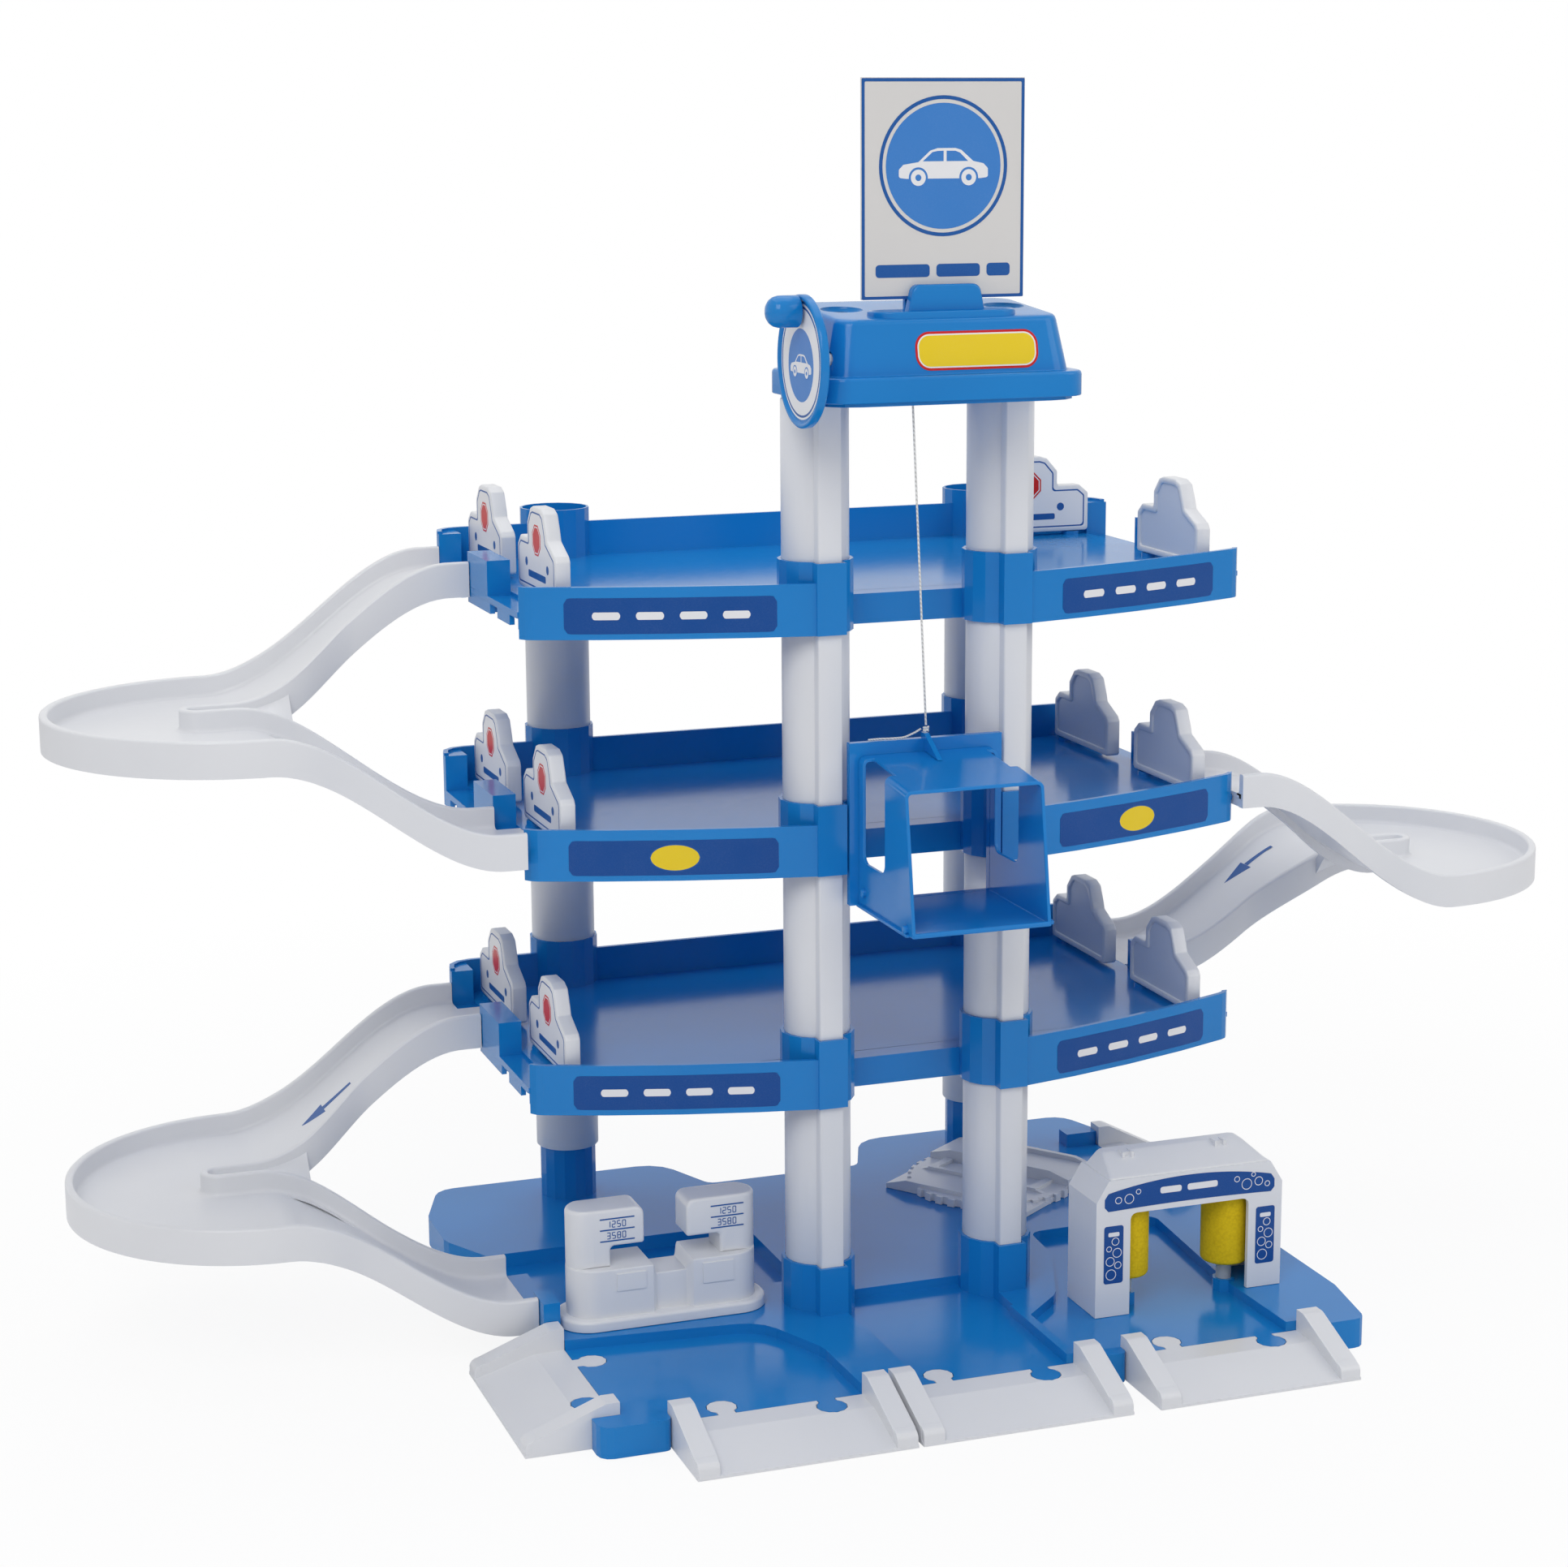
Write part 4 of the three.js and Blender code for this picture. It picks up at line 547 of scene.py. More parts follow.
def facesBeside(nodes, links):
    # the areas of the two faces that share an edge
    area = nodes.new("GeometryNodeInputMeshFaceArea")
    areas = []
    for side in (0, 1):
        corner = nodes.new("GeometryNodeCornersOfEdge")
        corner.inputs["Sort Index"].default_value = side
        face = nodes.new("GeometryNodeFaceOfCorner")
        links.new(corner.outputs["Corner Index"], face.inputs["Corner Index"])
        value = nodes.new("GeometryNodeFieldAtIndex")
        value.domain = "FACE"
        value.data_type = "FLOAT"
        links.new(area.outputs[0], value.inputs["Value"])
        links.new(face.outputs["Face Index"], value.inputs["Index"])
        areas.append(value.outputs[0])
    return areas


deckCorner = {"x": 221.5, "y": 51.5, "reach": 4.5}
arc = {"low": 9, "high": 38, "highUpright": 52, "upright": 0.8, "width": 6, "room": 0.44}


def arcWeights():
    # a weight for each edge between the flats of an arc: the arc's own curve, as wide as its flats allow
    group, start, end = geometryGroup("arc weights")
    nodes, links = group.nodes, group.links

    def calc(operation, first, second=None):
        return mathNode(nodes, links, operation, first, second)

    low, high, highUpright = (math.radians(arc[name]) for name in ("low", "high", "highUpright"))
    bend = nodes.new("GeometryNodeInputMeshEdgeAngle").outputs["Unsigned Angle"]
    ends = nodes.new("GeometryNodeInputMeshEdgeVertices").outputs
    length = vectorNode(nodes, links, "DISTANCE", ends["Position 1"], ends["Position 2"]).outputs["Value"]
    run = vectorNode(nodes, links, "SUBTRACT", ends["Position 1"], ends["Position 2"]).outputs["Vector"]
    rise = calc("DIVIDE", calc("ABSOLUTE", splitVector(nodes, links, run)["Z"]), length)
    upright = calc("GREATER_THAN", rise, arc["upright"])
    limit = calc("ADD", calc("MULTIPLY", upright, highUpright - high), high)
    inArc = calc("MULTIPLY", calc("GREATER_THAN", bend, low), calc("LESS_THAN", bend, limit))
    flat = calc("DIVIDE", calc("MINIMUM", *facesBeside(nodes, links)), length)
    share = calc("MINIMUM", calc("MULTIPLY", flat, arc["room"] / (arc["width"] * mm)), 1)
    weight = calc("MULTIPLY", share, inArc)
    # the decks' front corners are round as well
    place = splitVector(nodes, links, ends["Position 1"])
    outside = calc("GREATER_THAN", calc("ABSOLUTE", place["X"]), deckCorner["x"] * mm)
    off = calc("SUBTRACT", place["Y"], (deckCorner["y"] + yShift) * mm)
    near = calc("LESS_THAN", calc("ABSOLUTE", off), deckCorner["reach"] * mm)
    sharp = calc("GREATER_THAN", bend, highUpright)
    corner = calc("MULTIPLY", calc("MULTIPLY", outside, near), calc("MULTIPLY", upright, sharp))
    store = nodes.new("GeometryNodeStoreNamedAttribute")
    store.data_type = "FLOAT"
    store.domain = "EDGE"
    store.inputs["Name"].default_value = "bevel_weight_edge"
    links.new(start, store.inputs["Geometry"])
    links.new(calc("MAXIMUM", weight, corner), store.inputs["Value"])
    links.new(store.outputs[0], end)
    return group


softEdges = {"width": 0.6, "angle": 40, "steps": 2, "smooth": 44}
smoothGroup = smoothSwitch(softEdges["smooth"])
arcGroup = arcWeights()


def roundArcs(piece):
    # the part's arcs have few flats: each edge between two flats is curved
    flats = piece.modifiers.new("whole flats", "DECIMATE")
    flats.decimate_type = "DISSOLVE"
    flats.angle_limit = math.radians(0.5)
    weights = piece.modifiers.new("arc weights", "NODES")
    weights.node_group = arcGroup
    arcs = piece.modifiers.new("round arcs", "BEVEL")
    arcs.width = arc["width"] * mm
    arcs.segments = 3
    arcs.limit_method = "WEIGHT"
    arcs.use_clamp_overlap = False


def soften(piece, width):
    edges = piece.modifiers.new("soft edges", "BEVEL")
    edges.width = width * mm
    edges.segments = softEdges["steps"]
    edges.limit_method = "ANGLE"
    edges.angle_limit = math.radians(softEdges["angle"])
    smooth = piece.modifiers.new("smooth shading", "NODES")
    smooth.node_group = smoothGroup
    weighted = piece.modifiers.new("flat faces stay flat", "WEIGHTED_NORMAL")
    weighted.keep_sharp = True


def shapeMesh(name, shapes):
    points, faces, marks = [], [], []
    for shapePoints, shapeFaces, mark in shapes:
        start = len(points)
        points += [at(*point) for point in shapePoints]
        faces += [tuple(start + index for index in face) for face in shapeFaces]
        marks += [mark] * len(shapeFaces)
    mesh = bpy.data.meshes.new(name)
    mesh.from_pydata(points, [], faces)
    mesh.polygons.foreach_set("material_index", marks)
    tidy = bmesh.new()
    tidy.from_mesh(mesh)
    bmesh.ops.recalc_face_normals(tidy, faces=tidy.faces[:])
    tidy.to_mesh(mesh)
    tidy.free()
    return mesh


def carve(piece, cutters):
    # each cutter's shape is taken out of the piece
    holders = []
    for cutter in cutters:
        holder = bpy.data.objects.new("cutter", shapeMesh("cutter", [cutter]))
        bpy.context.collection.objects.link(holder)
        cut = piece.modifiers.new("cut", "BOOLEAN")
        cut.operation = "DIFFERENCE"
        cut.solver = "EXACT"
        cut.object = holder
        holders.append(holder)
    evaluated = piece.evaluated_get(bpy.context.evaluated_depsgraph_get())
    carved = bpy.data.meshes.new_from_object(evaluated)
    piece.modifiers.clear()
    piece.data = carved
    for holder in holders:
        bpy.data.objects.remove(holder)


def makePiece(name, shapes, slotName, body, replaces=(), inks=(), bevel=0, sharp=44, cutters=()):
    # a shape's mark is its place in inks; a piece without inks has its slot's finish
    mesh = shapeMesh(name, shapes)
    for ink in inks or [slotName]:
        mesh.materials.append(finishes[ink])
    piece = bpy.data.objects.new(name, mesh)
    bpy.context.collection.objects.link(piece)
    if cutters:
        carve(piece, cutters)
    mesh = piece.data
    mesh.polygons.foreach_set("use_smooth", [True] * len(mesh.polygons))
    mesh.set_sharp_from_angle(angle=math.radians(sharp))
    if bevel:
        soften(piece, bevel)
    if body:
        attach(piece, body)
    if replaces:
        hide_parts(*replaces)
    return piece


nodeEdges = {"base_plate": 1.2, "wash_arch": 0.9, "lift_frame": 0.8}


def dressNodes():
    slotOf = {entry["node"]: entry["material_slot"] for entry in frame["record"]["subparts"]}
    for name, node in frame["nodes"].items():
        if node.hide_render:
            continue
        node.data.materials.clear()
        node.data.materials.append(finishes[slotOf[name]])
        roundArcs(node)
        soften(node, nodeEdges.get(name, softEdges["width"]))
    print("carried-over nodes dressed:", sum(not node.hide_render for node in frame["nodes"].values()))


# loop ramps

loop = {
    "deckEnd": 227,
    "axisY": 143.2,
    "laneInner": 21,
    "laneOuter": 102.5,
    "turnX": 372.4,
    "turnRadius": 112,
    "blend": 120,
    "lead": 13,
    "run": 134,
    "rise": 140,
    "turnFloor": 84,
    "ease": (69, 118),
    "crotch": 114,
    "nose": 168,
    "noseHalf": 8.5,
    "noseTop": 7.6,
    "slab": 3,
    "skirt": 8.4,
    "wall": 5,
}
loopEnd = {
    "lane": (0.7, 3.5),
    "tongue": {"x": (-13.7, 2), "y": (31, 83), "down": (1.8, 0.05)},
    "rib": {"x": (-5.5, 2), "y": (35, 80), "half": 6.5, "height": 2.2},
}
# a wall's section: across from its middle, towards the lane, and up from the lane's floor
wallProfile = [
    (-2.5, -8.4), (-2.5, 11), (-2.3, 11.9), (-1.6, 12.5), (-0.8, 12.6), (0.8, 12.6), (1.6, 12.5),
    (2.3, 11.9), (2.5, 11), (2.5, 2.6), (2.75, 1.5), (3.4, 0.6), (4.4, 0.12), (5.6, 0),
    (5.6, -1.2), (2.5, -1.2), (2.5, -8.4),
]
loopPlaces = {
    "loop_ramp_left_upper": (-1, 286),
    "loop_ramp_left_lower": (-1, 6),
    "loop_ramp_right": (1, 146),
}
# an arrow's ramp and lane, its place across the lane, and where its tail and tip are
arrows = {
    "left": ("loop_ramp_left_lower", 1, 57.5, 302.8, 334.7),
    "right": ("loop_ramp_right", -1, 78.4, 346.4, 310.9),
}
arrow = {"neck": 0.55, "shaft": (1.6, 2.5), "head": (7.4, 0.1), "overlap": 0.2, "above": 0.05, "ink": 0.12}


def loopFloor(x, isHigh):
    rest = floorHeight + (loop["rise"] if isHigh else 0)
    return between(rest, loop["turnFloor"], eased((x - loop["deckEnd"] - loop["lead"]) / loop["run"]))


def thereAndBack(half):
    return half + [(x, -y) for x, y in reversed(half[:-1])]


def outerPath():
    half = loop["wall"] / 2
    line, turn, blend = loop["laneOuter"] - half, loop["turnRadius"] - half, loop["blend"] + half
    reach = math.sqrt((turn + blend) ** 2 - (line + blend) ** 2)
    lean = math.asin(reach / (turn + blend))
    laneEnd = loop["turnX"] - reach
    start = loop["deckEnd"] + 0.5
    half = [(between(start, laneEnd, step / 26), line) for step in range(26)]
    for step in range(10):
        angle = lean * step / 10
        half.append((laneEnd + blend * math.sin(angle), line + blend * (1 - math.cos(angle))))
    for step in range(45):
        angle = between(-lean, math.pi / 2, step / 44)
        half.append((loop["turnX"] + turn * math.sin(angle), turn * math.cos(angle)))
    return thereAndBack(half)


def innerPath(fine=1):
    line = loop["laneInner"] + loop["wall"] / 2
    start, first, last, tip = (loop["deckEnd"] + length for length in (0.5, *loop["ease"], loop["nose"]))
    half = [(between(start, first, step / (14 * fine)), line) for step in range(14 * fine)]
    for step in range(18 * fine):
        share = step / (18 * fine)
        half.append((between(first, last, share), between(line, loop["noseHalf"], eased(share))))
    half += [(between(last, tip, step / (10 * fine)), loop["noseHalf"]) for step in range(10 * fine)]
    for step in range(12 * fine + 1):
        angle = math.pi / 2 * step / (12 * fine)
        half.append((tip + loop["noseHalf"] * math.sin(angle), loop["noseHalf"] * math.cos(angle)))
    return thereAndBack(half)


def loopWall(path, laneSide):
    rings = []
    for index, (x, y) in enumerate(path):
        before, after = path[max(index - 1, 0)], path[min(index + 1, len(path) - 1)]
        way = Vector((after[0] - before[0], after[1] - before[1])).normalized()
        across = Vector((-way.y, way.x)) * laneSide
        ring = []
        for out, up in wallProfile:
            place = (x + across.x * out, y + across.y * out)
            ring.append((*place, loopFloor(place[0], y > 0) + up))
        rings.append(ring)
    return skin(rings)


def loopLane():
    inner = innerPath(6)
    rings = []
    for x, y in outerPath():
        nearest = min(inner, key=lambda point: (point[0] - x) ** 2 + (point[1] - y) ** 2)
        ends = Vector((x, y)), Vector(nearest)
        places = [ends[0].lerp(ends[1], step / 10) for step in range(11)]
        top = [(place.x, place.y, loopFloor(place.x, y > 0)) for place in places]
        rings.append(top + [(px, py, pz - loop["slab"]) for px, py, pz in reversed(top)])
    return skin(rings)


def loopNose():
    rings = []
    half = loop["noseHalf"]
    start, tip = loop["deckEnd"] + loop["crotch"], loop["deckEnd"] + loop["nose"] + half / 2
    for step in range(15):
        x = between(start, tip, step / 14)
        low, high = loopFloor(x, False), loopFloor(x, True)
        shares = [part / 6 for part in range(7)]
        top = [(x, between(-half, half, s), between(low, high, s) + loop["noseTop"]) for s in shares]
        rings.append([(x, -half, low - loop["slab"]), *top, (x, half, high - loop["slab"])])
    return skin(rings)


def loopEnds(onBase):
    # the lane's end wall, the tongue on the deck and two ribs under it, for the high and the low lane
    shapes = []
    tongue, rib = loopEnd["tongue"], loopEnd["rib"]

    def endBox(x, y, z):
        return boxShape([loop["deckEnd"] + along for along in x], sorted(y), z)

    for side in (1, -1):
        floor = loopFloor(loop["deckEnd"], side > 0)
        bottom = floor - loop["skirt"]
        lane = (side * (loop["laneInner"] + 1), side * (loop["laneOuter"] - 1))
        shapes.append(endBox(loopEnd["lane"], lane, (bottom + 0.2, floor - 0.6)))
        if not (onBase and side < 0):
            across = [side * y for y in tongue["y"]]
            shapes.append(endBox(tongue["x"], across, [floor - down for down in tongue["down"]]))
        for y in rib["y"]:
            across = (side * y - rib["half"], side * y + rib["half"])
            shapes.append(endBox(rib["x"], across, (bottom, bottom + rib["height"])))
    return shapes


def placedLoop(shapes, side, foot):
    def place(x, y, z):
        return side * x, loop["axisY"] - side * y, foot + z

    return [([place(*point) for point in points], faces, mark) for points, faces, mark in shapes]


def makeArrow(name):
    ramp, lane, offset, tail, tip = arrows[name]
    neck = between(tail, tip, arrow["neck"])

    def place(x, y, lift):
        return x, lane * offset + y, loopFloor(x, lane > 0) + arrow["above"] + lift

    def taper(start, end, widths):
        def edges(x):
            half = between(*widths, (x - start) / (end - start))
            return -half, half

        return edges

    shaft = strip(tail, neck + arrow["overlap"], taper(tail, neck, arrow["shaft"]), place, arrow["ink"], 0, 8)
    head = strip(neck, tip, taper(neck, tip, arrow["head"]), place, arrow["ink"], 0, 8)
    placed = placedLoop([shaft, head], *loopPlaces[ramp])
    makePiece(f"{name}_lane_arrow", placed, "sign_card", "garage", inks=["blue ink"])


def makeLoops():
    shapes = [loopWall(outerPath(), -1), loopWall(innerPath(), 1), loopLane(), loopNose()]
    for name, (side, foot) in loopPlaces.items():
        onBase = foot < levels["lower"]
        placed = placedLoop(shapes + loopEnds(onBase), side, foot)
        makePiece(name + "_shell", placed, "white_plastic", "garage", [name])
    for name in arrows:
        makeArrow(name)
    print("loop ramps and their arrows made")


# columns

column = {
    "frontX": 57.4,
    "frontY": 28,
    "frontRadius": 19.6,
    "bore": 17.6,
    "stripHalf": 7.35,
    "stripFront": 2.8,
    "foot": 30,  # of the lowest one
    "seat": 21.2,  # a deck's floor holds the next one's foot
    "socket": 7,
    "capSocket": 7.4,
}
backColumn = {"x": 145, "y": 271, "radius": 20.3, "bore": 17.6, "foot": 52, "seat": 28, "socket": 12.6}
tubeEnd = {"gap": 0.3, "edge": 0.8, "draw": 0.4}


def tubeWall(foot, top):
    # how far a tube's outside is drawn in, and at which height, from its foot to its top
    gap, edge, draw = tubeEnd["gap"], tubeEnd["edge"], tubeEnd["draw"]
    return [(draw, foot + gap), (0, foot + edge), (0, top - edge), (draw, top - gap)]


def frontOutline(steps=60):
    radius, half = column["frontRadius"], column["stripHalf"]
    flare = math.asin(half / radius)
    outline = []
    for step in range(steps + 1):
        angle = -math.pi / 2 + flare + (2 * math.pi - 2 * flare) * step / steps
        outline.append((radius * math.cos(angle), radius * math.sin(angle)))
    front = column["stripFront"] - column["frontY"]
    corner = [(half, front + 1), (half - 0.3, front + 0.3), (half - 1, front)]
    return outline + [(-x, y) for x, y in corner] + corner[::-1]


def makeFrontColumns(name, side):
    outer = frontOutline()
    inner = [tuple(Vector(point).normalized() * column["bore"]) for point in outer]
    feet = [column["foot"]] + [foot + column["seat"] for foot in levels.values()]
    tops = [foot + column["socket"] for foot in levels.values()] + [shaftTop - column["capSocket"]]
    for index, (foot, top) in enumerate(zip(feet, tops), 1):
        sections = [(outer, draw, z) for draw, z in tubeWall(foot, top)]
        sections += [(inner, 0, top - tubeEnd["gap"]), (inner, 0, foot + tubeEnd["gap"])]
        rings = []
        for outline, draw, z in sections:
            size = 1 - draw / 20
            middle = side * column["frontX"], column["frontY"]
            rings.append([(middle[0] + x * size, middle[1] + y * size, z) for x, y in outline])
        label = f"front_column_{name}_{index}"
        makePiece(label + "_tube", [skin(rings, 0, True)], "white_plastic", "garage", [label])


def makeBackColumns(name, side):
    def place(x, y, z):
        return side * backColumn["x"] + x, backColumn["y"] + y, z

    feet = [backColumn["foot"]] + [foot + backColumn["seat"] for foot in list(levels.values())[:-1]]
    tops = [foot + backColumn["socket"] for foot in levels.values()]
    for index, (foot, top) in enumerate(zip(feet, tops), 1):
        profile = [(backColumn["radius"] - draw, z) for draw, z in tubeWall(foot, top)]
        profile += [(backColumn["bore"], top - tubeEnd["gap"]), (backColumn["bore"], foot + tubeEnd["gap"])]
        label = f"back_column_{name}_{index}"
        tube = turned(profile, 64, place, 0, True)
        makePiece(label + "_tube", [tube], "white_plastic", "garage", [label])


def makeColumns():
    for name, side in sides.items():
        makeFrontColumns(name, side)
        makeBackColumns(name, side)
    print("columns made")


# gate barriers

barrier = {
    "length": 83,
    "height": 50,
    "heel": 11,
    "half": 4.5,
    "x": 201,
    "pivots": {"front": 121, "back": 242.5},
    "foot": 20,
    "corner": 2.2,
    "recess": 1.2,
    "open": ["barrier_upper_right_back"],  # stands along the lane at rest
}
barrierShares = [
    (0, 0), (0, 0.5), (0.08, 0.61), (0.27, 0.61), (0.27, 0.8), (0.36, 0.97), (0.42, 1), (0.62, 1),
    (0.7, 0.95), (0.76, 0.75), (0.78, 0.66), (0.97, 0.52), (1, 0.46), (1, 0),
]
barrierEdge = [(0, 0.9), (0.3, 0.25), (0.9, 0)]  # back from the face, and in from the outline
barrierRim = [(0, 3.4), (0.3, 3.8), (1.2, 4)]
barrierPin = [(0.05, -5), (2.1, -5), (2.5, -4.5), (2.5, 2.4), (0.05, 2.5)]
barrierPrint = {
    "inset": 1.9,
    "line": (3, 3.9),
    "sign": (0.52, 31),  # share of the length, height
    "signRadius": 9.6,
    "signLine": (8.5, 7.8),
    "bar": {"half": 19, "height": (8.2, 12.2), "corner": 1.2},
    "dot": {"off": 23, "height": 16.4, "radius": 2.6},
}


def barrierOutline(distance):
    length, height = barrier["length"], barrier["height"]
    outline = [(barrier["heel"] - along * length, up * height) for along, up in barrierShares]
    return roundCorners(drawnIn(outline, distance), barrier["corner"])


def barrierPanel(place, side):
    half = barrier["half"]
    sections = [(half - back, inset) for back, inset in barrierEdge]
    sections += [(back - half, inset) for back, inset in barrierEdge[::-1] + barrierRim]
    body = skin([[place(side * x, y, z) for y, z in barrierOutline(inset)] for x, inset in sections])
    deep, inset = half - barrier["recess"], barrierRim[-1][1]
    recess = [[place(-side * x, y, z) for y, z in barrierOutline(inset)] for x in (deep, deep + 0.06)]
    return [body, skin(recess, 1), turned(barrierPin, 24, place)]


def barrierMarks(place, side):
    along, signHeight = barrierPrint["sign"]
    signY = barrier["heel"] - along * barrier["length"]

    def onFace(y, z, lift):
        return place(side * (barrier["half"] + lift), y, z)

    def octagon(radius):
        angles = [math.pi / 4 * (step + 0.5) for step in range(8)]
        return [(signY + radius * math.cos(a), signHeight + radius * math.sin(a)) for a in angles]

    bar, dot = barrierPrint["bar"], barrierPrint["dot"]
    barOutline = roundedBox((signY - bar["half"], signY + bar["half"]), bar["height"], bar["corner"], 3)
    dots = [discPoints(signY + off, dot["height"], dot["radius"], 24) for off in (-dot["off"], dot["off"])]
    lines = [barrierOutline(inset) for inset in barrierPrint["line"]]
    signLines = [octagon(radius) for radius in barrierPrint["signLine"]]
    return [
        plate(barrierOutline(barrierPrint["inset"]), onFace, 0.02, 0.14, 0),
        frameShape(*lines, onFace, *layers["mark"], 1),
        plate(octagon(barrierPrint["signRadius"]), onFace, 0.1, 0.22, 2),
        frameShape(*signLines, onFace, 0.2, 0.26, 0),
        plate(barOutline, onFace, *layers["mark"], 1),
        *[plate(outline, onFace, *layers["mark"], 1) for outline in dots],
    ]


def makeBarrier(label, side, pivot, foot):
    turn = -math.pi / 2 if label in barrier["open"] else 0

    def place(x, y, z):
        cos, sin = math.cos(turn), math.sin(turn)
        return side * barrier["x"] + x * cos - y * sin, pivot + x * sin + y * cos, foot + barrier["foot"] + z

    panelInks = ["white_plastic", "frosted"]
    makePiece(label + "_panel", barrierPanel(place, side), "white_plastic", label, [label], panelInks)
    printInks = ["white ink", "blue ink", "red ink"]
    makePiece(label + "_print", barrierMarks(place, side), "sign_card", label, inks=printInks)


def makeBarriers():
    for level, foot in levels.items():
        for name, side in sides.items():
            for where, pivot in barrier["pivots"].items():
                makeBarrier(f"barrier_{level}_{name}_{where}", side, pivot, foot)
    print("gate barriers made")


# printed strips on the decks' front panels

panel = {
    "reach": (88.4, 203.5),
    "height": (3.4, 23.8),
    "corner": 3.2,
    "dash": (15, 4.4, 8.5),
    "dashCorner": 1.6,
    "oval": (13.4, 7.4),
    "ovalLine": 0.7,
}
panelLine = [(227, 50), (184.95, 33.75), (142.9, 20), (100.85, 8.75), (58.8, 0)]


def panelFront(x):
    for (outX, outY), (inX, inY) in zip(panelLine, panelLine[1:]):
        if x >= inX:
            return between(inY, outY, (x - inX) / (outX - inX))
    return 0


def panelDashes(place):
    length, height, gap = panel["dash"]
    middle, centre = sum(panel["reach"]) / 2, sum(panel["height"]) / 2
    shapes = []
    for index in range(4):
        start = middle + (index - 2) * (length + gap) + gap / 2
        low, high = centre - height / 2, centre + height / 2
        edges = roundedEdges(start, start + length, low, high, panel["dashCorner"])
        shapes.append(strip(start, start + length, edges, place, 0.22, 3, 20))
    return shapes


def panelOval(place):
    middle, centre = sum(panel["reach"]) / 2, sum(panel["height"]) / 2
    shapes = []
    for line, mark, lift in ((panel["ovalLine"], 1, 0.2), (0, 2, 0.26)):
        half, rise = (size + line for size in panel["oval"])
        edges = ovalEdges(middle, half, centre, rise)
        shapes.append(strip(middle - half, middle + half, edges, place, lift, mark, 40))
    return shapes


def makePanelPrints():
    ground = roundedEdges(*panel["reach"], *panel["height"], panel["corner"])
    inks = ["deep blue ink", "blue ink", "yellow ink", "white ink"]
    for level, foot in levels.items():
        for name, side in sides.items():
            def place(x, z, lift):
                return side * x, panelFront(x) - 0.05 - lift, foot + z

            shapes = [strip(*panel["reach"], ground, place, film, 0, 64)]
            shapes += panelOval(place) if level == "middle" else panelDashes(place)
            makePiece(f"deck_{level}_{name}_print", shapes, "sign_card", "garage", inks=inks)
    print("front panel prints made")


# sign board, roof label and crank

carShape = [
    (-30, 4), (-30, 9), (-27, 12), (-17, 13.5), (-9, 20.5), (-4, 22), (8, 22), (12, 20.8), (20, 14),
    (27, 12.5), (30, 9.5), (30, 4), (25, 3.4), (-25, 3.4),
]
carGlass = [
    [(-14, 14), (-7.5, 19.6), (-4, 20.3), (0, 20.4), (0, 14)],
    [(2, 14), (2, 20.4), (8, 20.3), (11, 19.2), (16.5, 14)],
]
carWheels = {"x": (-17, 17), "z": 4, "tyre": 6.4, "rim": 5, "hub": 2}
carMiddle = 11
sign = {
    "face": -23.15,
    "half": 48.25,
    "foot": 615,
    "top": 734.3,
    "disc": (0, 687, 34),
    "ring": (38, 36),
    "border": (0.15, 1.9),
    "car": 0.88,
    "dashes": [(-40, -8), (-4, 22), (26, 40)],
    "dashHeight": (627, 634),
}


def carPicture(x, z, scale, place, lift, bodyMark, glassMark):
    def moved(points):
        return [(x + u * scale, z + (v - carMiddle) * scale) for u, v in points]

    shapes = [plate(roundCorners(moved(carShape), 1.5 * scale), place, lift, lift + 0.06, bodyMark)]
    shapes += [plate(moved(glass), place, lift + 0.06, lift + 0.1, glassMark) for glass in carGlass]
    rounds = (("tyre", glassMark, 0.1), ("rim", bodyMark, 0.14), ("hub", glassMark, 0.18))
    for wheel in carWheels["x"]:
        centre = moved([(wheel, carWheels["z"])])[0]
        for name, mark, rise in rounds:
            outline = discPoints(*centre, carWheels[name] * scale, 28)
            shapes.append(plate(outline, place, lift, lift + rise, mark))
    return shapes


def makeSign():
    def place(x, z, lift):
        return x, sign["face"] - lift, z

    def border(inset):
        x = (-sign["half"] + inset, sign["half"] - inset)
        return roundedBox(x, (sign["foot"] + inset, sign["top"] - inset), 0.6, 2)

    centre = sign["disc"][:2]
    rings = [discPoints(*centre, radius, 72) for radius in sign["ring"]]
    shapes = [
        frameShape(*[border(inset) for inset in sign["border"]], place, *layers["card"], 0),
        plate(discPoints(*sign["disc"], 72), place, *layers["card"], 1),
        frameShape(*rings, place, *layers["card"], 0),
        *carPicture(*centre, sign["car"], place, 0.12, 2, 1),
    ]
    for ends in sign["dashes"]:
        shapes.append(plate(roundedBox(ends, sign["dashHeight"], 2, 4), place, *layers["card"], 0))
    makePiece("sign_print", shapes, "sign_card", "garage", inks=["blue ink", "pale blue ink", "white ink"])
    print("sign made")


# inset and rise of the cap's rings, from the ceiling inside, round the rim, to the top
capProfile = [
    (50, 36.4), (18, 36.3), (14.6, 33.2), (9.6, 9), (8.6, 6.2), (3, 6.2), (2.5, 5.4), (2.5, -5.3),
    (0.4, -5.3), (0, -4.9), (0, 6.6), (0.3, 7.8), (1, 8.5), (2, 8.7), (5.8, 8.7), (6.6, 9), (7, 9.8),
    (12.1, 35.8), (12.7, 37.6), (13.6, 38.6), (15, 39), (20, 39.1), (48, 39.1),
]
cap = {
    "half": 78.4,
    "y": (-49, 53.2),
    "corner": 15,
    "cornerLoss": 0.36,  # for each mm of inset
    "innerCorner": (30, 4),  # from this inset on, this radius
    "tiltAbove": 33,
    "tilt": 0.085,  # the top rises a little towards the back
    "tiltFrom": -36,
    "dimples": {"x": 49, "y": 6},
    "slope": 0.1962,
    "slopeFoot": (-42, 9.8),
}
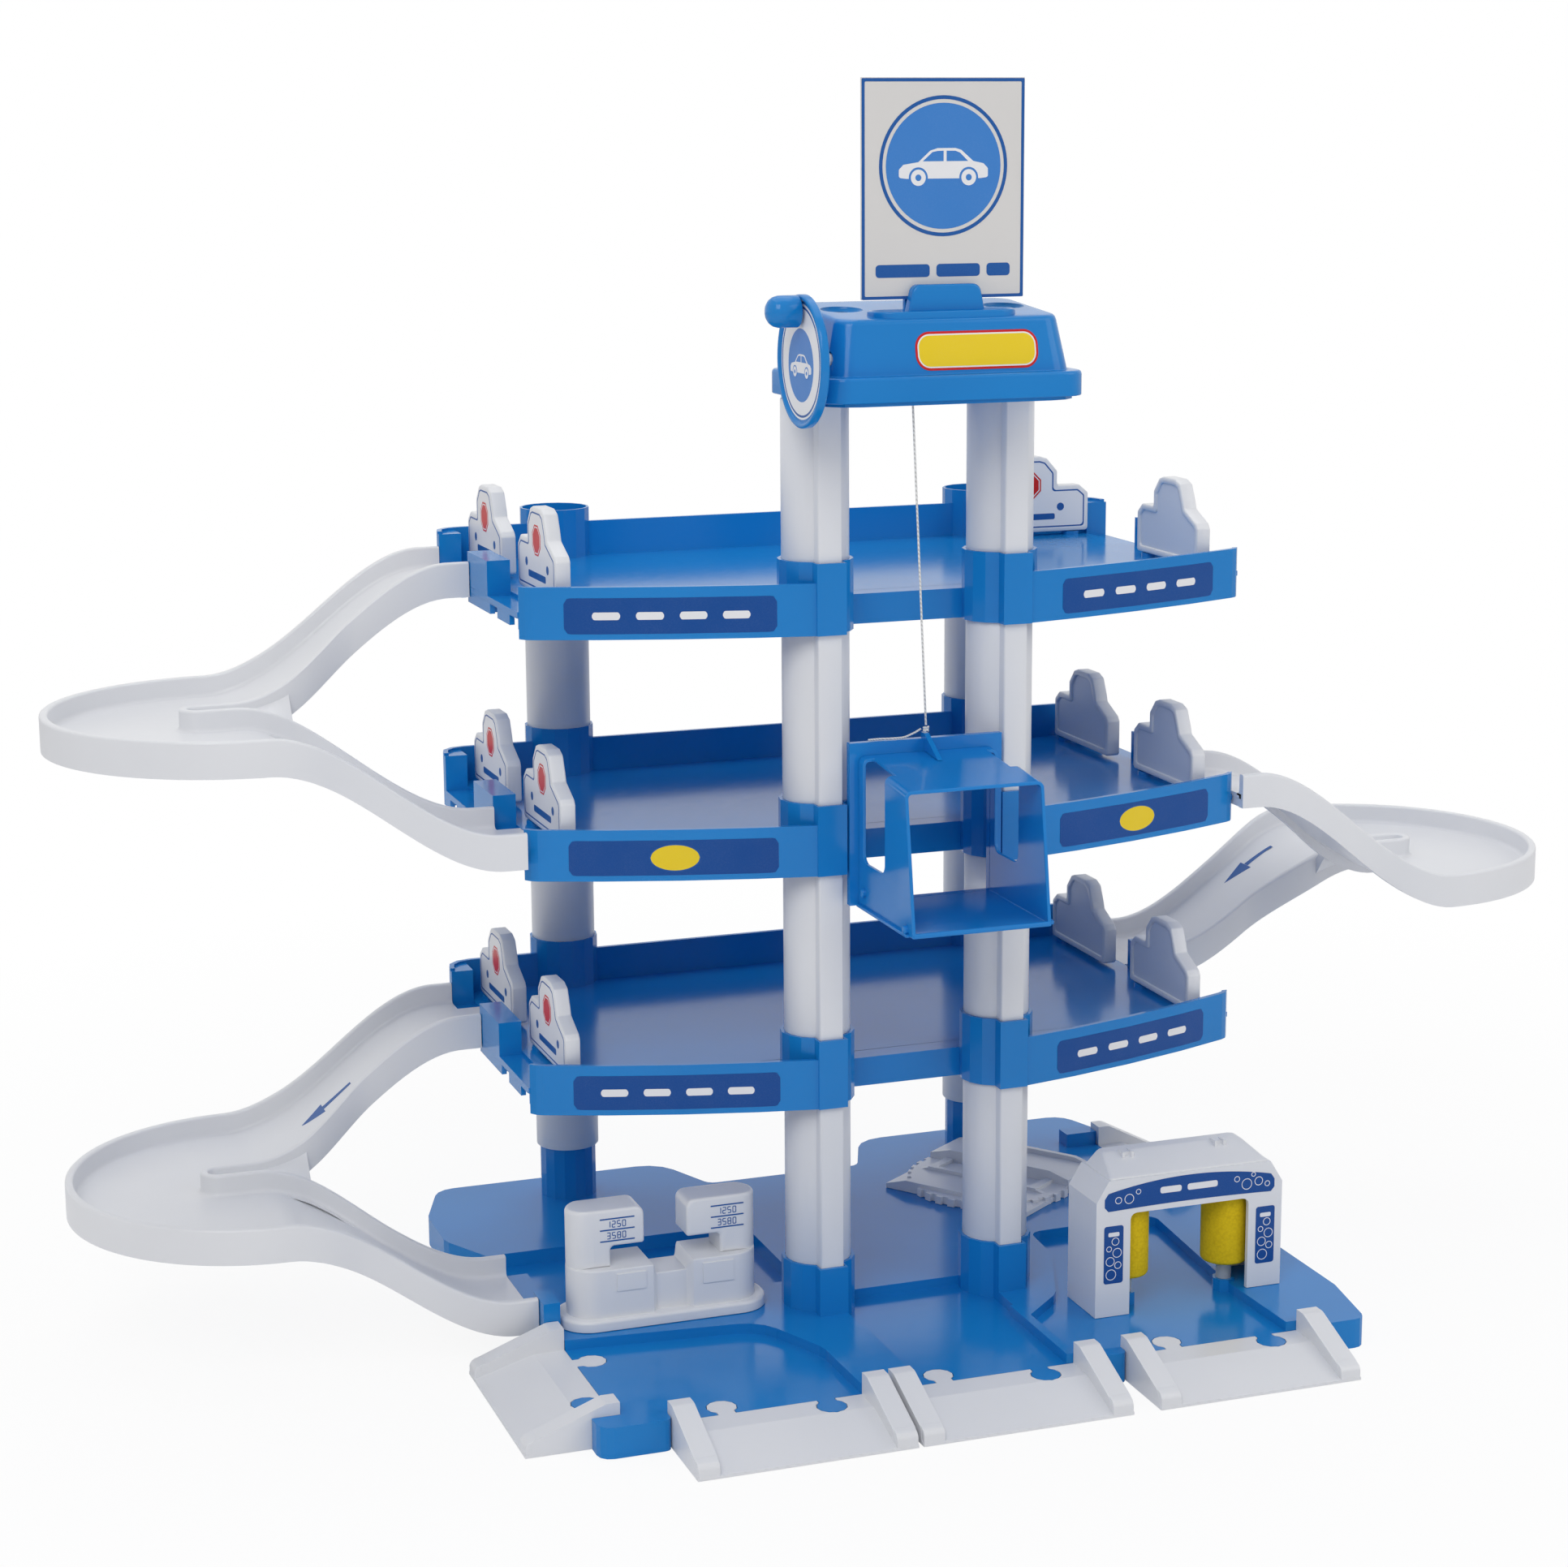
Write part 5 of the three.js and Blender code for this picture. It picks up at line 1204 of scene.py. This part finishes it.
dimpleProfile = [(0.05, 38.8), (6, 39.1), (10, 40.2), (12, 42.4), (12.6, 46), (0.05, 46)]
axleHole = {"radius": 5.2, "x": (-82, -60)}
roofLabel = {"x": (-23, 50.3), "rise": (11, 32), "corner": 8.5}
signPad = {"x": (-43, 43), "y": (-34.5, -7.5), "corner": 13}
padProfile = [(0, 38.2), (0, 42), (0.4, 42.7), (1.2, 43), (2.2, 42.8), (2.8, 42.2), (3.4, 42)]
signFoot = {
    "outline": [(-23.5, 40), (23.5, 40), (19.6, 57.2), (-19.6, 57.2)],
    "corners": [0.2, 0.2, 5, 5],
    "front": [(-29.6, 1.2), (-29.2, 0.5), (-28.4, 0), (-23.4, 0)],
    "back": {"x": (-22, 22), "y": (-21.1, -18.2), "rise": (39, 54)},
}


def capRing(inset, rise):
    x = (-cap["half"] + inset, cap["half"] - inset)
    y = (cap["y"][0] + inset, cap["y"][1] - inset)
    flatFrom, flatCorner = cap["innerCorner"]
    corner = cap["corner"] - cap["cornerLoss"] * inset if inset < flatFrom else flatCorner
    tilt = cap["tilt"] if rise > cap["tiltAbove"] else 0
    outline = roundedBox(x, y, corner, 8)
    return [(u, v, shaftTop + rise + tilt * max(v - cap["tiltFrom"], 0)) for u, v in outline]


def onAxle(a, b, along):
    return along, crank["y"] + a, crank["z"] + b


def makeCap():
    cutters = []
    for side in (-1, 1):
        def inTop(a, b, along):
            return side * cap["dimples"]["x"] + a, cap["dimples"]["y"] + b, shaftTop + along

        cutters.append(turned(dimpleProfile, 40, inTop))
    (start, end), radius = axleHole["x"], axleHole["radius"]
    cutters.append(turned([(0.05, start), (radius, start), (radius, end), (0.05, end)], 40, onAxle))
    shell = skin([capRing(inset, rise) for inset, rise in capProfile])
    look = {"bevel": 0.3, "sharp": 50, "cutters": cutters}
    makePiece("cap_shell", [shell], "blue_plastic", "garage", ["roof_cap"], **look)


def makeSignFoot():
    outline = roundedBox(signPad["x"], signPad["y"], signPad["corner"], 12)
    half, middle = signPad["x"][1], sum(signPad["y"]) / 2
    deep = signPad["y"][1] - middle
    rings = []
    for draw, rise in padProfile:
        shrinkX, shrinkY = 1 - draw / half, 1 - draw / deep
        rings.append([(x * shrinkX, middle + (y - middle) * shrinkY, shaftTop + rise) for x, y in outline])
    foot = []
    for y, inset in signFoot["front"]:
        section = roundCorners(drawnIn(signFoot["outline"], inset), signFoot["corners"], 6)
        foot.append([(x, y, shaftTop + z) for x, z in section])
    back = signFoot["back"]
    behind = boxShape(back["x"], back["y"], [shaftTop + rise for rise in back["rise"]])
    shapes = [skin(rings), skin(foot), behind]
    makePiece("sign_foot", shapes, "blue_plastic", "garage", ["sign_holder"], bevel=0.4)


def makeRoofLabel():
    # a bare label on the sloped front of the cap
    def onCap(x, rise, lift):
        footY, footRise = cap["slopeFoot"]
        return x, footY + (rise - footRise) * cap["slope"] - 0.05 - lift, shaftTop + rise

    (left, right), (low, high) = roofLabel["x"], roofLabel["rise"]
    shapes = []
    for inset, mark, lift in ((0, 0, 0.12), (1.3, 1, 0.2), (2.1, 2, 0.26)):
        x, rise = (left + inset, right - inset), (low + inset, high - inset)
        shapes.append(plate(roundedBox(x, rise, roofLabel["corner"] - inset, 10), onCap, 0, lift, mark))
    makePiece("roof_label", shapes, "sign_card", "garage", inks=["red ink", "white ink", "yellow ink"])


def makeRoof():
    makeCap()
    makeSignFoot()
    makeRoofLabel()
    print("roof made")


crank = {
    "y": -28,
    "z": 583.1,
    "knob": 27.3,
    "face": -85.42,
    "white": 31.6,
    "line": (30.4, 29.2),
    "disc": (0, -2, 20),
    "car": 0.55,
}
# a radius from the axis and a place along the axle
discProfile = [
    (0.05, -81.9), (35.6, -81.9), (36.4, -82.7), (36.4, -86), (36, -86.55), (35.3, -86.8),
    (34.3, -86.8), (33.7, -86.5), (33.4, -85.8), (33, -85.4), (0.05, -85.4),
]
knobProfile = [
    (0.05, -105.7), (2.4, -105.5), (4.6, -104.8), (6.6, -103.4), (8, -101.4), (8.7, -98.9), (8.8, -96.4),
    (8.8, -88), (8.4, -87.3), (7.8, -87.1), (3, -87.1), (3, -84.7), (0.05, -84.7),
]


def makeCrank():
    def onKnob(a, b, along):
        return onAxle(a, crank["knob"] + b, along)

    def onDisc(y, z, lift):
        return crank["face"] - lift, crank["y"] - y, crank["z"] + z

    makePiece("crank_plate", [turned(discProfile, 96, onAxle)], "blue_plastic", "crank", ["crank_disc"])
    makePiece("crank_handle", [turned(knobProfile, 48, onKnob)], "blue_plastic", "crank", ["crank_knob"])
    line = [discPoints(0, 0, radius, 96) for radius in crank["line"]]
    shapes = [
        plate(discPoints(0, 0, crank["white"], 96), onDisc, 0, 0.12, 0),
        frameShape(*line, onDisc, *layers["disc"], 1),
        plate(discPoints(*crank["disc"], 72), onDisc, *layers["disc"], 2),
        *carPicture(*crank["disc"][:2], crank["car"], onDisc, 0.18, 0, 2),
    ]
    makePiece("crank_print", shapes, "sign_card", "crank", inks=["white ink", "blue ink", "pale blue ink"])
    print("crank made")


# front ends of the entrance ramps' curbs

ramp = {
    "curb": 13,
    "draw": (0.2, 0.1),  # in from the curb's side, and back from the road's edge
    # back from the road's edge, and up
    "nose": [(0, 0.2), (0, 5.6), (0.5, 7), (1.6, 8.4), (3, 9.2), (7, 10.6), (7, 0.2)],
}
rampWays = {
    "front_left": (0, -1),
    "front_middle": (0, -1),
    "front_right": (0, -1),
    "left": (-1, 0),
    "right": (1, 0),
}


def rampNose(way, front, side, inward):
    drawSide, drawFront = ramp["draw"]
    edge = side + inward * drawSide
    inner = side + inward * (ramp["curb"] - drawSide)
    rings = []
    for across in sorted((edge, inner)):
        places = [(front - sum(way) * (back + drawFront), z) for back, z in ramp["nose"]]
        rings.append([(along, across, z) if way[0] else (across, along, z) for along, z in places])
    return skin(rings)


def makeRampNoses():
    for name, way in rampWays.items():
        low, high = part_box(f"entrance_ramp_{name}")
        x = (low[0] / mm, high[0] / mm)
        y = (low[1] / mm - yShift, high[1] / mm - yShift)
        along, across = (x, y) if way[0] else (y, x)
        front = along[1] if sum(way) > 0 else along[0]
        shapes = [rampNose(way, front, side, inward) for side, inward in zip(across, (1, -1))]
        makePiece(f"ramp_noses_{name}", shapes, "white_plastic", "garage", bevel=0.7)
    print("ramp noses made")


# lift cabin

cabin = {
    "foot": 267.4,
    "half": 42,
    "wall": 2,
    "front": (-85.4, -73),  # at the floor and at the roof
    "back": -1,
    "roof": (81.2, 88.2),  # at the front and at the back
    "outerCorners": [0.8, 0.8, 4, 4],
    "innerCorners": [0.4, 0.4, 2.2, 2.2],
    "shares": [0, 0.01, 0.25, 0.5, 0.75, 1],
    # its windows go over the folded edges of the roof
    "window": [(-42, 27), (-8, 27), (-8, 96), (-42, 96)],
    "windowCorners": [6, 6, 1, 1],
    "windowReach": (35, 50),
    "pins": [(-10.5, 9.5), (-76, 3.4)],
    # each from left to right, from front to back, and up from the floor
    "rail": [(-44, -41), (-80, -2), (-0.2, 1.6)],
    "tab": [(41, 45), (-82, -76), (0, 2.4)],
}
pinProfile = [(0.05, 41.6), (2.6, 41.6), (2.6, 43.6), (2.1, 44.2), (0.05, 44.4)]
cabinLip = {"radius": 1.5, "half": 41.4, "y": -84.2, "up": 1.4}


def cabinSection(share, inset, corners):
    half, top = cabin["half"] - inset, between(*cabin["roof"], share) - inset
    outline = [(-half, inset), (half, inset), (half, top), (-half, top)]
    ring = []
    for x, z in roundCorners(outline, corners, 6):
        front = between(*cabin["front"], z / cabin["roof"][0])
        ring.append((x, between(front, cabin["back"], share), cabin["foot"] + z))
    return ring


def cabinPin(y, z):
    def outOfSide(a, b, along):
        return -along, y + a, cabin["foot"] + z + b

    return turned(pinProfile, 24, outOfSide)


def makeCabin():
    foot, radius, half = cabin["foot"], cabinLip["radius"], cabinLip["half"]

    def alongLip(a, b, along):
        return along, cabinLip["y"] + a, foot + cabinLip["up"] + b

    rings = [cabinSection(share, 0, cabin["outerCorners"]) for share in cabin["shares"]]
    back = reversed(cabin["shares"])
    rings += [cabinSection(share, cabin["wall"], cabin["innerCorners"]) for share in back]
    window = roundCorners(cabin["window"], cabin["windowCorners"], 6)
    windows = []
    for side in (-1, 1):
        ends = [side * reach for reach in cabin["windowReach"]]
        windows.append(skin([[(x, y, foot + z) for y, z in window] for x in ends]))
    shell = skin(rings, 0, True)
    slotName = "bright_blue_plastic"
    makePiece("lift_shell", [shell], slotName, "lift", ["lift_cabin"], bevel=0.5, sharp=50, cutters=windows)
    pins = [cabinPin(y, z) for y, z in cabin["pins"]]
    ledges = [boxShape(x, y, [foot + up for up in z]) for x, y, z in (cabin["rail"], cabin["tab"])]
    lip = turned([(0.05, -half), (radius, -half), (radius, half), (0.05, half)], 20, alongLip)
    makePiece("lift_fittings", [*pins, *ledges, lip], slotName, "lift", bevel=0.4)
    print("lift cabin made")


# car wash and fuel pumps

wash = {
    "face": -46.2,
    "middle": 152.6,
    "half": 56.3,
    "rollers": {"left": 119, "right": 186.2},
    "rollerY": -26.6,
    "legs": (-50.1, 50.6),
}
banner = {
    "bottom": (78, 1.2),  # its height at the ends, and its rise in the middle
    "top": (88.8, 6.4),
    "corner": 3,
    "dashes": [(-20, -6), (-2, 18)],
    "dashHeight": (85.6, 89.6),
}
legPrint = {"half": 6.3, "height": (33, 69), "dashHalf": 3.6, "dashHeight": (62.4, 65)}
# across from the print's middle, up from the floor, and a radius
bubbles = {
    "banner": [
        (37.6, 84.6, 3.5), (45.6, 85.6, 2.8), (51.4, 83.4, 1.8), (31, 88.4, 1.9), (42, 90.2, 1.5),
        (-40.4, 84.8, 3.1), (-47.4, 84.6, 2.2), (-34.4, 88.6, 1.7),
    ],
    "leg": [
        (-1.6, 38.6, 3.4), (2.9, 44.2, 2.3), (-2.2, 46.9, 2.9), (2.3, 52, 3), (-3, 54.8, 1.8),
        (1.1, 59.2, 2.5),
    ],
    "line": 0.42,
}
rollerProfile = [
    (3.9, 31.4), (12.6, 31.4), (13.7, 31.9), (14.3, 32.8), (14.5, 34), (14.5, 84), (14.2, 85.2), (13.4, 86),
    (3.9, 86),
]
shaftProfile = [
    (0.05, 14.3), (4.2, 14.3), (4.7, 14.8), (4.7, 17), (5.2, 17.3), (5.2, 17.9), (4.7, 18.2), (4.7, 30),
    (4.2, 30.8), (3.5, 31), (3.5, 93.2), (3.1, 93.7), (0.05, 93.7),
]
# the cover's left edge, how far its front reaches, and its height, from its foot to its top
coverProfile = [
    (100.4, 44.8, 96.9), (100.4, 44.8, 97.4), (101, 44.2, 98.2), (106, 23, 104.6), (107.4, 20.6, 105.6),
    (109.4, 18.4, 105.9),
]
cover = {"back": -9.4, "lean": 0.25, "corner": 2}
clip = {"x": (120.5, 182), "jaws": [(-3.8, -2), (2, 3.8)], "tongue": (-2.2, 2.2), "foot": 101, "back": -20}


def onWashFront(x, z, lift):
    return wash["middle"] + x, wash["face"] - 0.03 - lift, z


def bannerEdges(x):
    arch = 1 - (x / wash["half"]) ** 2
    radius = banner["corner"]
    inside = min(wash["half"] - abs(x), radius)
    cut = radius - math.sqrt(max(radius**2 - (radius - inside) ** 2, 0.01))
    (low, lowRise), (high, highRise) = banner["bottom"], banner["top"]
    return low + lowRise * arch + cut, high + highRise * arch - cut


def bubble(x, z, radius):
    rings = [discPoints(x, z, size, 28) for size in (radius, radius - bubbles["line"])]
    return frameShape(*rings, onWashFront, *layers["mark"], 1)


def makeWashPrint():
    shapes = [strip(-wash["half"], wash["half"], bannerEdges, onWashFront, film, 0, 48)]
    shapes += [bubble(*place) for place in bubbles["banner"]]
    for ends in banner["dashes"]:
        shapes.append(plate(roundedBox(ends, banner["dashHeight"], 1.4, 4), onWashFront, *layers["mark"], 1))
    half, dashHalf = legPrint["half"], legPrint["dashHalf"]
    for middle in wash["legs"]:
        ground = roundedBox((middle - half, middle + half), legPrint["height"], 1.6, 4)
        shapes.append(plate(ground, onWashFront, *layers["ground"], 0))
        shapes += [bubble(middle + x, z, radius) for x, z, radius in bubbles["leg"]]
        dash = roundedBox((middle - dashHalf, middle + dashHalf), legPrint["dashHeight"], 0.8, 3)
        shapes.append(plate(dash, onWashFront, *layers["mark"], 1))
    makePiece("wash_print", shapes, "sign_card", "garage", inks=["deep blue ink", "white ink"])


def makeRollers():
    for name, x in wash["rollers"].items():
        def place(a, b, along):
            return x + a, wash["rollerY"] + b, along

        node = f"wash_roller_{name}"
        roller = turned(rollerProfile, 64, place, 0, True)
        makePiece(f"wash_sponge_{name}", [roller], "roller_foam", node, [node])
        rod = turned(shaftProfile, 40, place)
        makePiece(f"wash_rod_{name}", [rod], "white_plastic", "garage", [f"wash_shaft_{name}"], ["cloudy"])


def makeCover():
    foot = coverProfile[0][2]
    rings = []
    for left, front, z in coverProfile:
        ends = (-front, cover["back"] - (z - foot) * cover["lean"])
        outline = roundedBox((left, 2 * wash["middle"] - left), ends, cover["corner"], 5)
        rings.append([(x, y, z) for x, y in outline])
    shapes = [skin(rings)]
    for middle in clip["x"]:
        parts = [(jaw, -27, 107) for jaw in clip["jaws"]] + [(clip["tongue"], -24.5, 106.2)]
        for ends, front, top in parts:
            x = [middle + end for end in ends]
            shapes.append(boxShape(x, (front, clip["back"]), (clip["foot"], top)))
    makePiece("wash_cover", shapes, "white_plastic", "garage", ["wash_roof"], bevel=0.5)


def makeWash():
    makeWashPrint()
    makeRollers()
    makeCover()
    print("car wash made")


pumps = {
    "face": 30,
    "left": (-192.8, -170.8),
    "right": (-124.6, -103.3),
    "height": (69.6, 85),
    "line": 0.4,
    "lineInset": 0.9,
    "digits": {"size": 1.85, "inset": 4.8, "above": (1.55, 2.3), "stroke": (0.13, 0.46), "step": 1.7},
}
segments = {  # the seven strokes of a digit: middle across and up, and whether it stands
    "top": (0.5, 2, False), "middle": (0.5, 1, False), "bottom": (0.5, 0, False),
    "upLeft": (0, 1.5, True), "upRight": (1, 1.5, True),
    "lowLeft": (0, 0.5, True), "lowRight": (1, 0.5, True),
}
digitStrokes = {
    "1": ("upRight", "lowRight"),
    "2": ("top", "upRight", "middle", "lowLeft", "bottom"),
    "3": ("top", "upRight", "middle", "lowRight", "bottom"),
    "5": ("top", "upLeft", "middle", "lowRight", "bottom"),
    "8": tuple(segments),
    "0": ("top", "upLeft", "upRight", "lowLeft", "lowRight", "bottom"),
}


def digits(text, x, z, size, place, mark):
    shapes = []
    for index, digit in enumerate(text):
        for stroke in digitStrokes[digit]:
            across, up, stands = segments[stroke]
            middle = (x + (index * pumps["digits"]["step"] + across) * size, z + up * size)
            thin, long = (share * size for share in pumps["digits"]["stroke"])
            half = (thin, long) if stands else (long, thin)
            corners = ((-1, -1), (1, -1), (1, 1), (-1, 1))
            box = [(middle[0] + a * half[0], middle[1] + b * half[1]) for a, b in corners]
            shapes.append(plate(box, place, 0, 0.14, mark))
    return shapes


island = {
    "x": (-216, -88.2),
    "y": (21, 63),
    "corner": 20.2,
    "plinth": [(0.3, 18.3), (0, 18.7), (0, 23), (0.4, 24.1), (1.2, 24.8), (2.4, 25)],
    "shelf": 25,
    "inset": (6, 4),
    "top": 54.6,
    "saddle": 47.6,
    "saddleHalf": 12.4,
    "slopes": [(-161.6, -158.2), (-136.6, -140)],  # from the top down into the saddle
    "reliefs": [((-184, -166), (41, 51.4)), ((-131, -112), (39, 51.4))],
    "reliefY": (24.2, 26),
}
pump = {
    "outer": {"left": -210, "right": -94.2},
    "depth": 12,
    "y": 42,
    "column": 24,
    "reach": 44.8,
    "foot": 54.5,
    "headFoot": 67,
    "top": 89.6,
    "corners": [0.2, 0.2, 3, 1.4, 5, 2.6],
    "edge": 1.8,
    "fronts": [0, 0.15, 0.5, 1, 1.8],
}


def islandBody():
    (low, high), (front, back) = island["x"], island["y"]
    insetX, insetY = island["inset"]
    start, end = low + insetX, high - insetX
    middle, half = (front + back) / 2, (back - front) / 2 - insetY
    waist = sum(bottom for top, bottom in island["slopes"]) / 2
    places = set()
    for step in range(15):
        inside = half * (1 - math.cos(math.pi / 2 * step / 14))
        places |= {start + inside, end - inside}
    for top, bottom in island["slopes"]:
        places |= {between(top, bottom, step / 4) for step in range(5)}
    rings = []
    for x in sorted(places):
        inside = min(x - start, end - x, half)
        plan = max(math.sqrt(max(half**2 - (half - inside) ** 2, 0)), 0.6)
        near, far = island["slopes"][0 if x < waist else 1]
        share = eased((x - near) / (far - near))
        wide = between(plan, island["saddleHalf"], share)
        top = between(island["top"], island["saddle"], share)
        curve = min(1.4, wide / 2)
        side = [(wide, island["shelf"] - 0.4), (wide, top - curve)]
        side += [(wide - 0.3 * curve, top - 0.3 * curve), (wide - curve, top)]
        near, far = ([(x, middle + way * y, z) for y, z in side] for way in (-1, 1))
        rings.append(near + far[::-1])
    return skin(rings)


def makeIsland():
    (low, high), (front, back) = island["x"], island["y"]
    rings = []
    for inset, z in island["plinth"]:
        ends = (low + inset, high - inset), (front + inset, back - inset)
        rings.append([(x, y, z) for x, y in roundedBox(*ends, island["corner"] - inset, 16)])
    reliefs = [boxShape(x, island["reliefY"], z) for x, z in island["reliefs"]]
    shapes = [skin(rings), islandBody(), *reliefs]
    makePiece("island_body", shapes, "white_plastic", "garage", ["fuel_island"], bevel=0.5)


def pumpSection(y):
    # the pump's outline at a depth: rounded at its outer side, its edges drawn in at the front and back
    depth, edge = pump["depth"], pump["edge"]
    inset = edge - math.sqrt(max(edge**2 - max(edge - min(y, 2 * depth - y), 0) ** 2, 0))
    bulge = depth * (1 - math.sqrt(max(1 - ((y - depth) / depth) ** 2, 0)))
    outline = [
        (bulge, pump["foot"]), (pump["column"], pump["foot"]), (pump["column"], pump["headFoot"]),
        (pump["reach"], pump["headFoot"]), (pump["reach"], pump["top"]), (bulge, pump["top"]),
    ]
    return roundCorners(drawnIn(outline, inset), pump["corners"], 6)


def makePumpBodies():
    depth, fronts = pump["depth"], pump["fronts"]
    stations = fronts + [depth * (1 - math.cos(math.pi * step / 18)) for step in range(4, 15)]
    stations += [2 * depth - y for y in reversed(fronts)]
    for name, outer in pump["outer"].items():
        way = 1 if name == "left" else -1
        rings = []
        for y in stations:
            rings.append([(outer + way * u, pump["y"] - depth + y, z) for u, z in pumpSection(y)])
        makePiece(f"pump_body_{name}", [skin(rings)], "white_plastic", "garage", [f"fuel_pump_{name}"])


def makePumpDisplays():
    def place(x, z, lift):
        return x, pumps["face"] - 0.03 - lift, z

    low, high = pumps["height"]
    middle, line, inset = (low + high) / 2, pumps["line"], pumps["lineInset"]
    number = pumps["digits"]
    for name in ("left", "right"):
        start, end = pumps[name]
        shapes = []
        for height in (low + inset, middle, high - inset):
            outline = roundedBox((start + line, end - line), (height - line, height + line), 0.2, 2)
            shapes.append(plate(outline, place, *layers["ground"], 0))
        for text, foot, above in zip(("1250", "3580"), (middle, low), number["above"]):
            shapes += digits(text, start + number["inset"], foot + above, number["size"], place, 0)
        makePiece(f"pump_display_{name}", shapes, "sign_card", "garage", inks=["blue ink"])


def makePumps():
    makeIsland()
    makePumpBodies()
    makePumpDisplays()
    print("fuel island and pumps made")


# string, knot and loose end

string = {"radius": 0.6, "rest": 363.9, "knotZ": 368.3, "knotTop": 2.3, "drum": (-23.5, -34.5, 583.1)}
knot = {"radius": 1.25, "swell": 0.15, "height": 2.5, "strand": 0.58, "turns": 3, "steps": 96}
core = {"radius": 0.7, "start": -1.9, "step": 0.17, "points": 23}
tailPath = [
    (-2.6, 1.2, 4.4), (-6, 1.6, 2.5), (-10, 2.2, 0.7), (-14, 1.4, 0), (-19, 0.9, 0), (-24, 1.6, 0),
    (-29, 2.2, 0), (-35, 1.5, 0),
]


def tubeAlong(points, radius, count=10):
    rings = []
    side = Vector((0, 0, 1))
    for index, point in enumerate(points):
        way = (points[min(index + 1, len(points) - 1)] - points[max(index - 1, 0)]).normalized()
        side = (side - way * side.dot(way)).normalized()
        other = way.cross(side)
        turns = [2 * math.pi * step / count for step in range(count)]
        rings.append([tuple(point + (side * math.cos(a) + other * math.sin(a)) * radius) for a in turns])
    return skin(rings)


def throughPoints(points, steps):
    # a Catmull-Rom line through the points
    ends = [points[0] * 2 - points[1], *points, points[-1] * 2 - points[-2]]
    line = []
    for index in range(1, len(ends) - 2):
        a, b, c, d = ends[index - 1 : index + 3]
        for step in range(steps):
            t = step / steps
            square, cube = a * 2 - b * 5 + c * 4 - d, b * 3 - a - c * 3 + d
            line.append(((b * 2) + (c - a) * t + square * t**2 + cube * t**3) / 2)
    return [*line, points[-1]]


def makeKnot():
    coil = []
    foot = string["knotZ"] - knot["height"] / 2
    for step in range(knot["steps"] + 1):
        share = step / knot["steps"]
        angle = 2 * math.pi * knot["turns"] * share
        swell = knot["radius"] + knot["swell"] * math.cos(angle / 3)
        coil.append(Vector((swell * math.cos(angle), swell * math.sin(angle), foot + knot["height"] * share)))
    start = string["knotZ"] + core["start"]
    middle = [Vector((0, 0, start + core["step"] * step)) for step in range(core["points"])]
    shapes = [tubeAlong(coil, knot["strand"]), tubeAlong(middle, core["radius"])]
    makePiece("knot_turns", shapes, "twine", "lift", ["string_knot"])


def makeRun():
    # the string from the knot to the drum in the cap, one straight tube that is not attached to the lift
    foot, top = Vector((0, 0, string["knotZ"] + string["knotTop"])), Vector(string["drum"])
    points = [foot.lerp(top, step / 90) for step in range(91)]
    run = makePiece("string_run", [tubeAlong(points, string["radius"])], "twine", None, ["lift_string"])
    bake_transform(run)


def makeTail():
    points = [Vector((x, y, string["rest"] + rise)) for x, y, rise in tailPath]
    line = [at(*point) for point in throughPoints(points, 4)]
    curve = bpy.data.curves.new("tail", "CURVE")
    curve.dimensions = "3D"
    curve.bevel_depth = string["radius"] * mm
    curve.bevel_resolution = 3
    curve.use_fill_caps = True
    run = curve.splines.new("POLY")
    run.points.add(len(line) - 1)
    for place, point in zip(line, run.points):
        point.co = (*place, 1)
    curve.materials.append(finishes["twine"])
    tail = bpy.data.objects.new("string_end", curve)
    bpy.context.collection.objects.link(tail)
    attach(tail, "lift")
    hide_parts("string_tail")


makeCamera()
makeWorld()
makeFloor()
makeLamps()
makeLoops()
makeColumns()
makeBarriers()
makePanelPrints()
makeSign()
makeRoof()
makeCrank()
makeRampNoses()
makeCabin()
makeWash()
makePumps()
makeKnot()
makeRun()
makeTail()
dressNodes()

bpy.context.scene.view_settings.view_transform = "Standard"
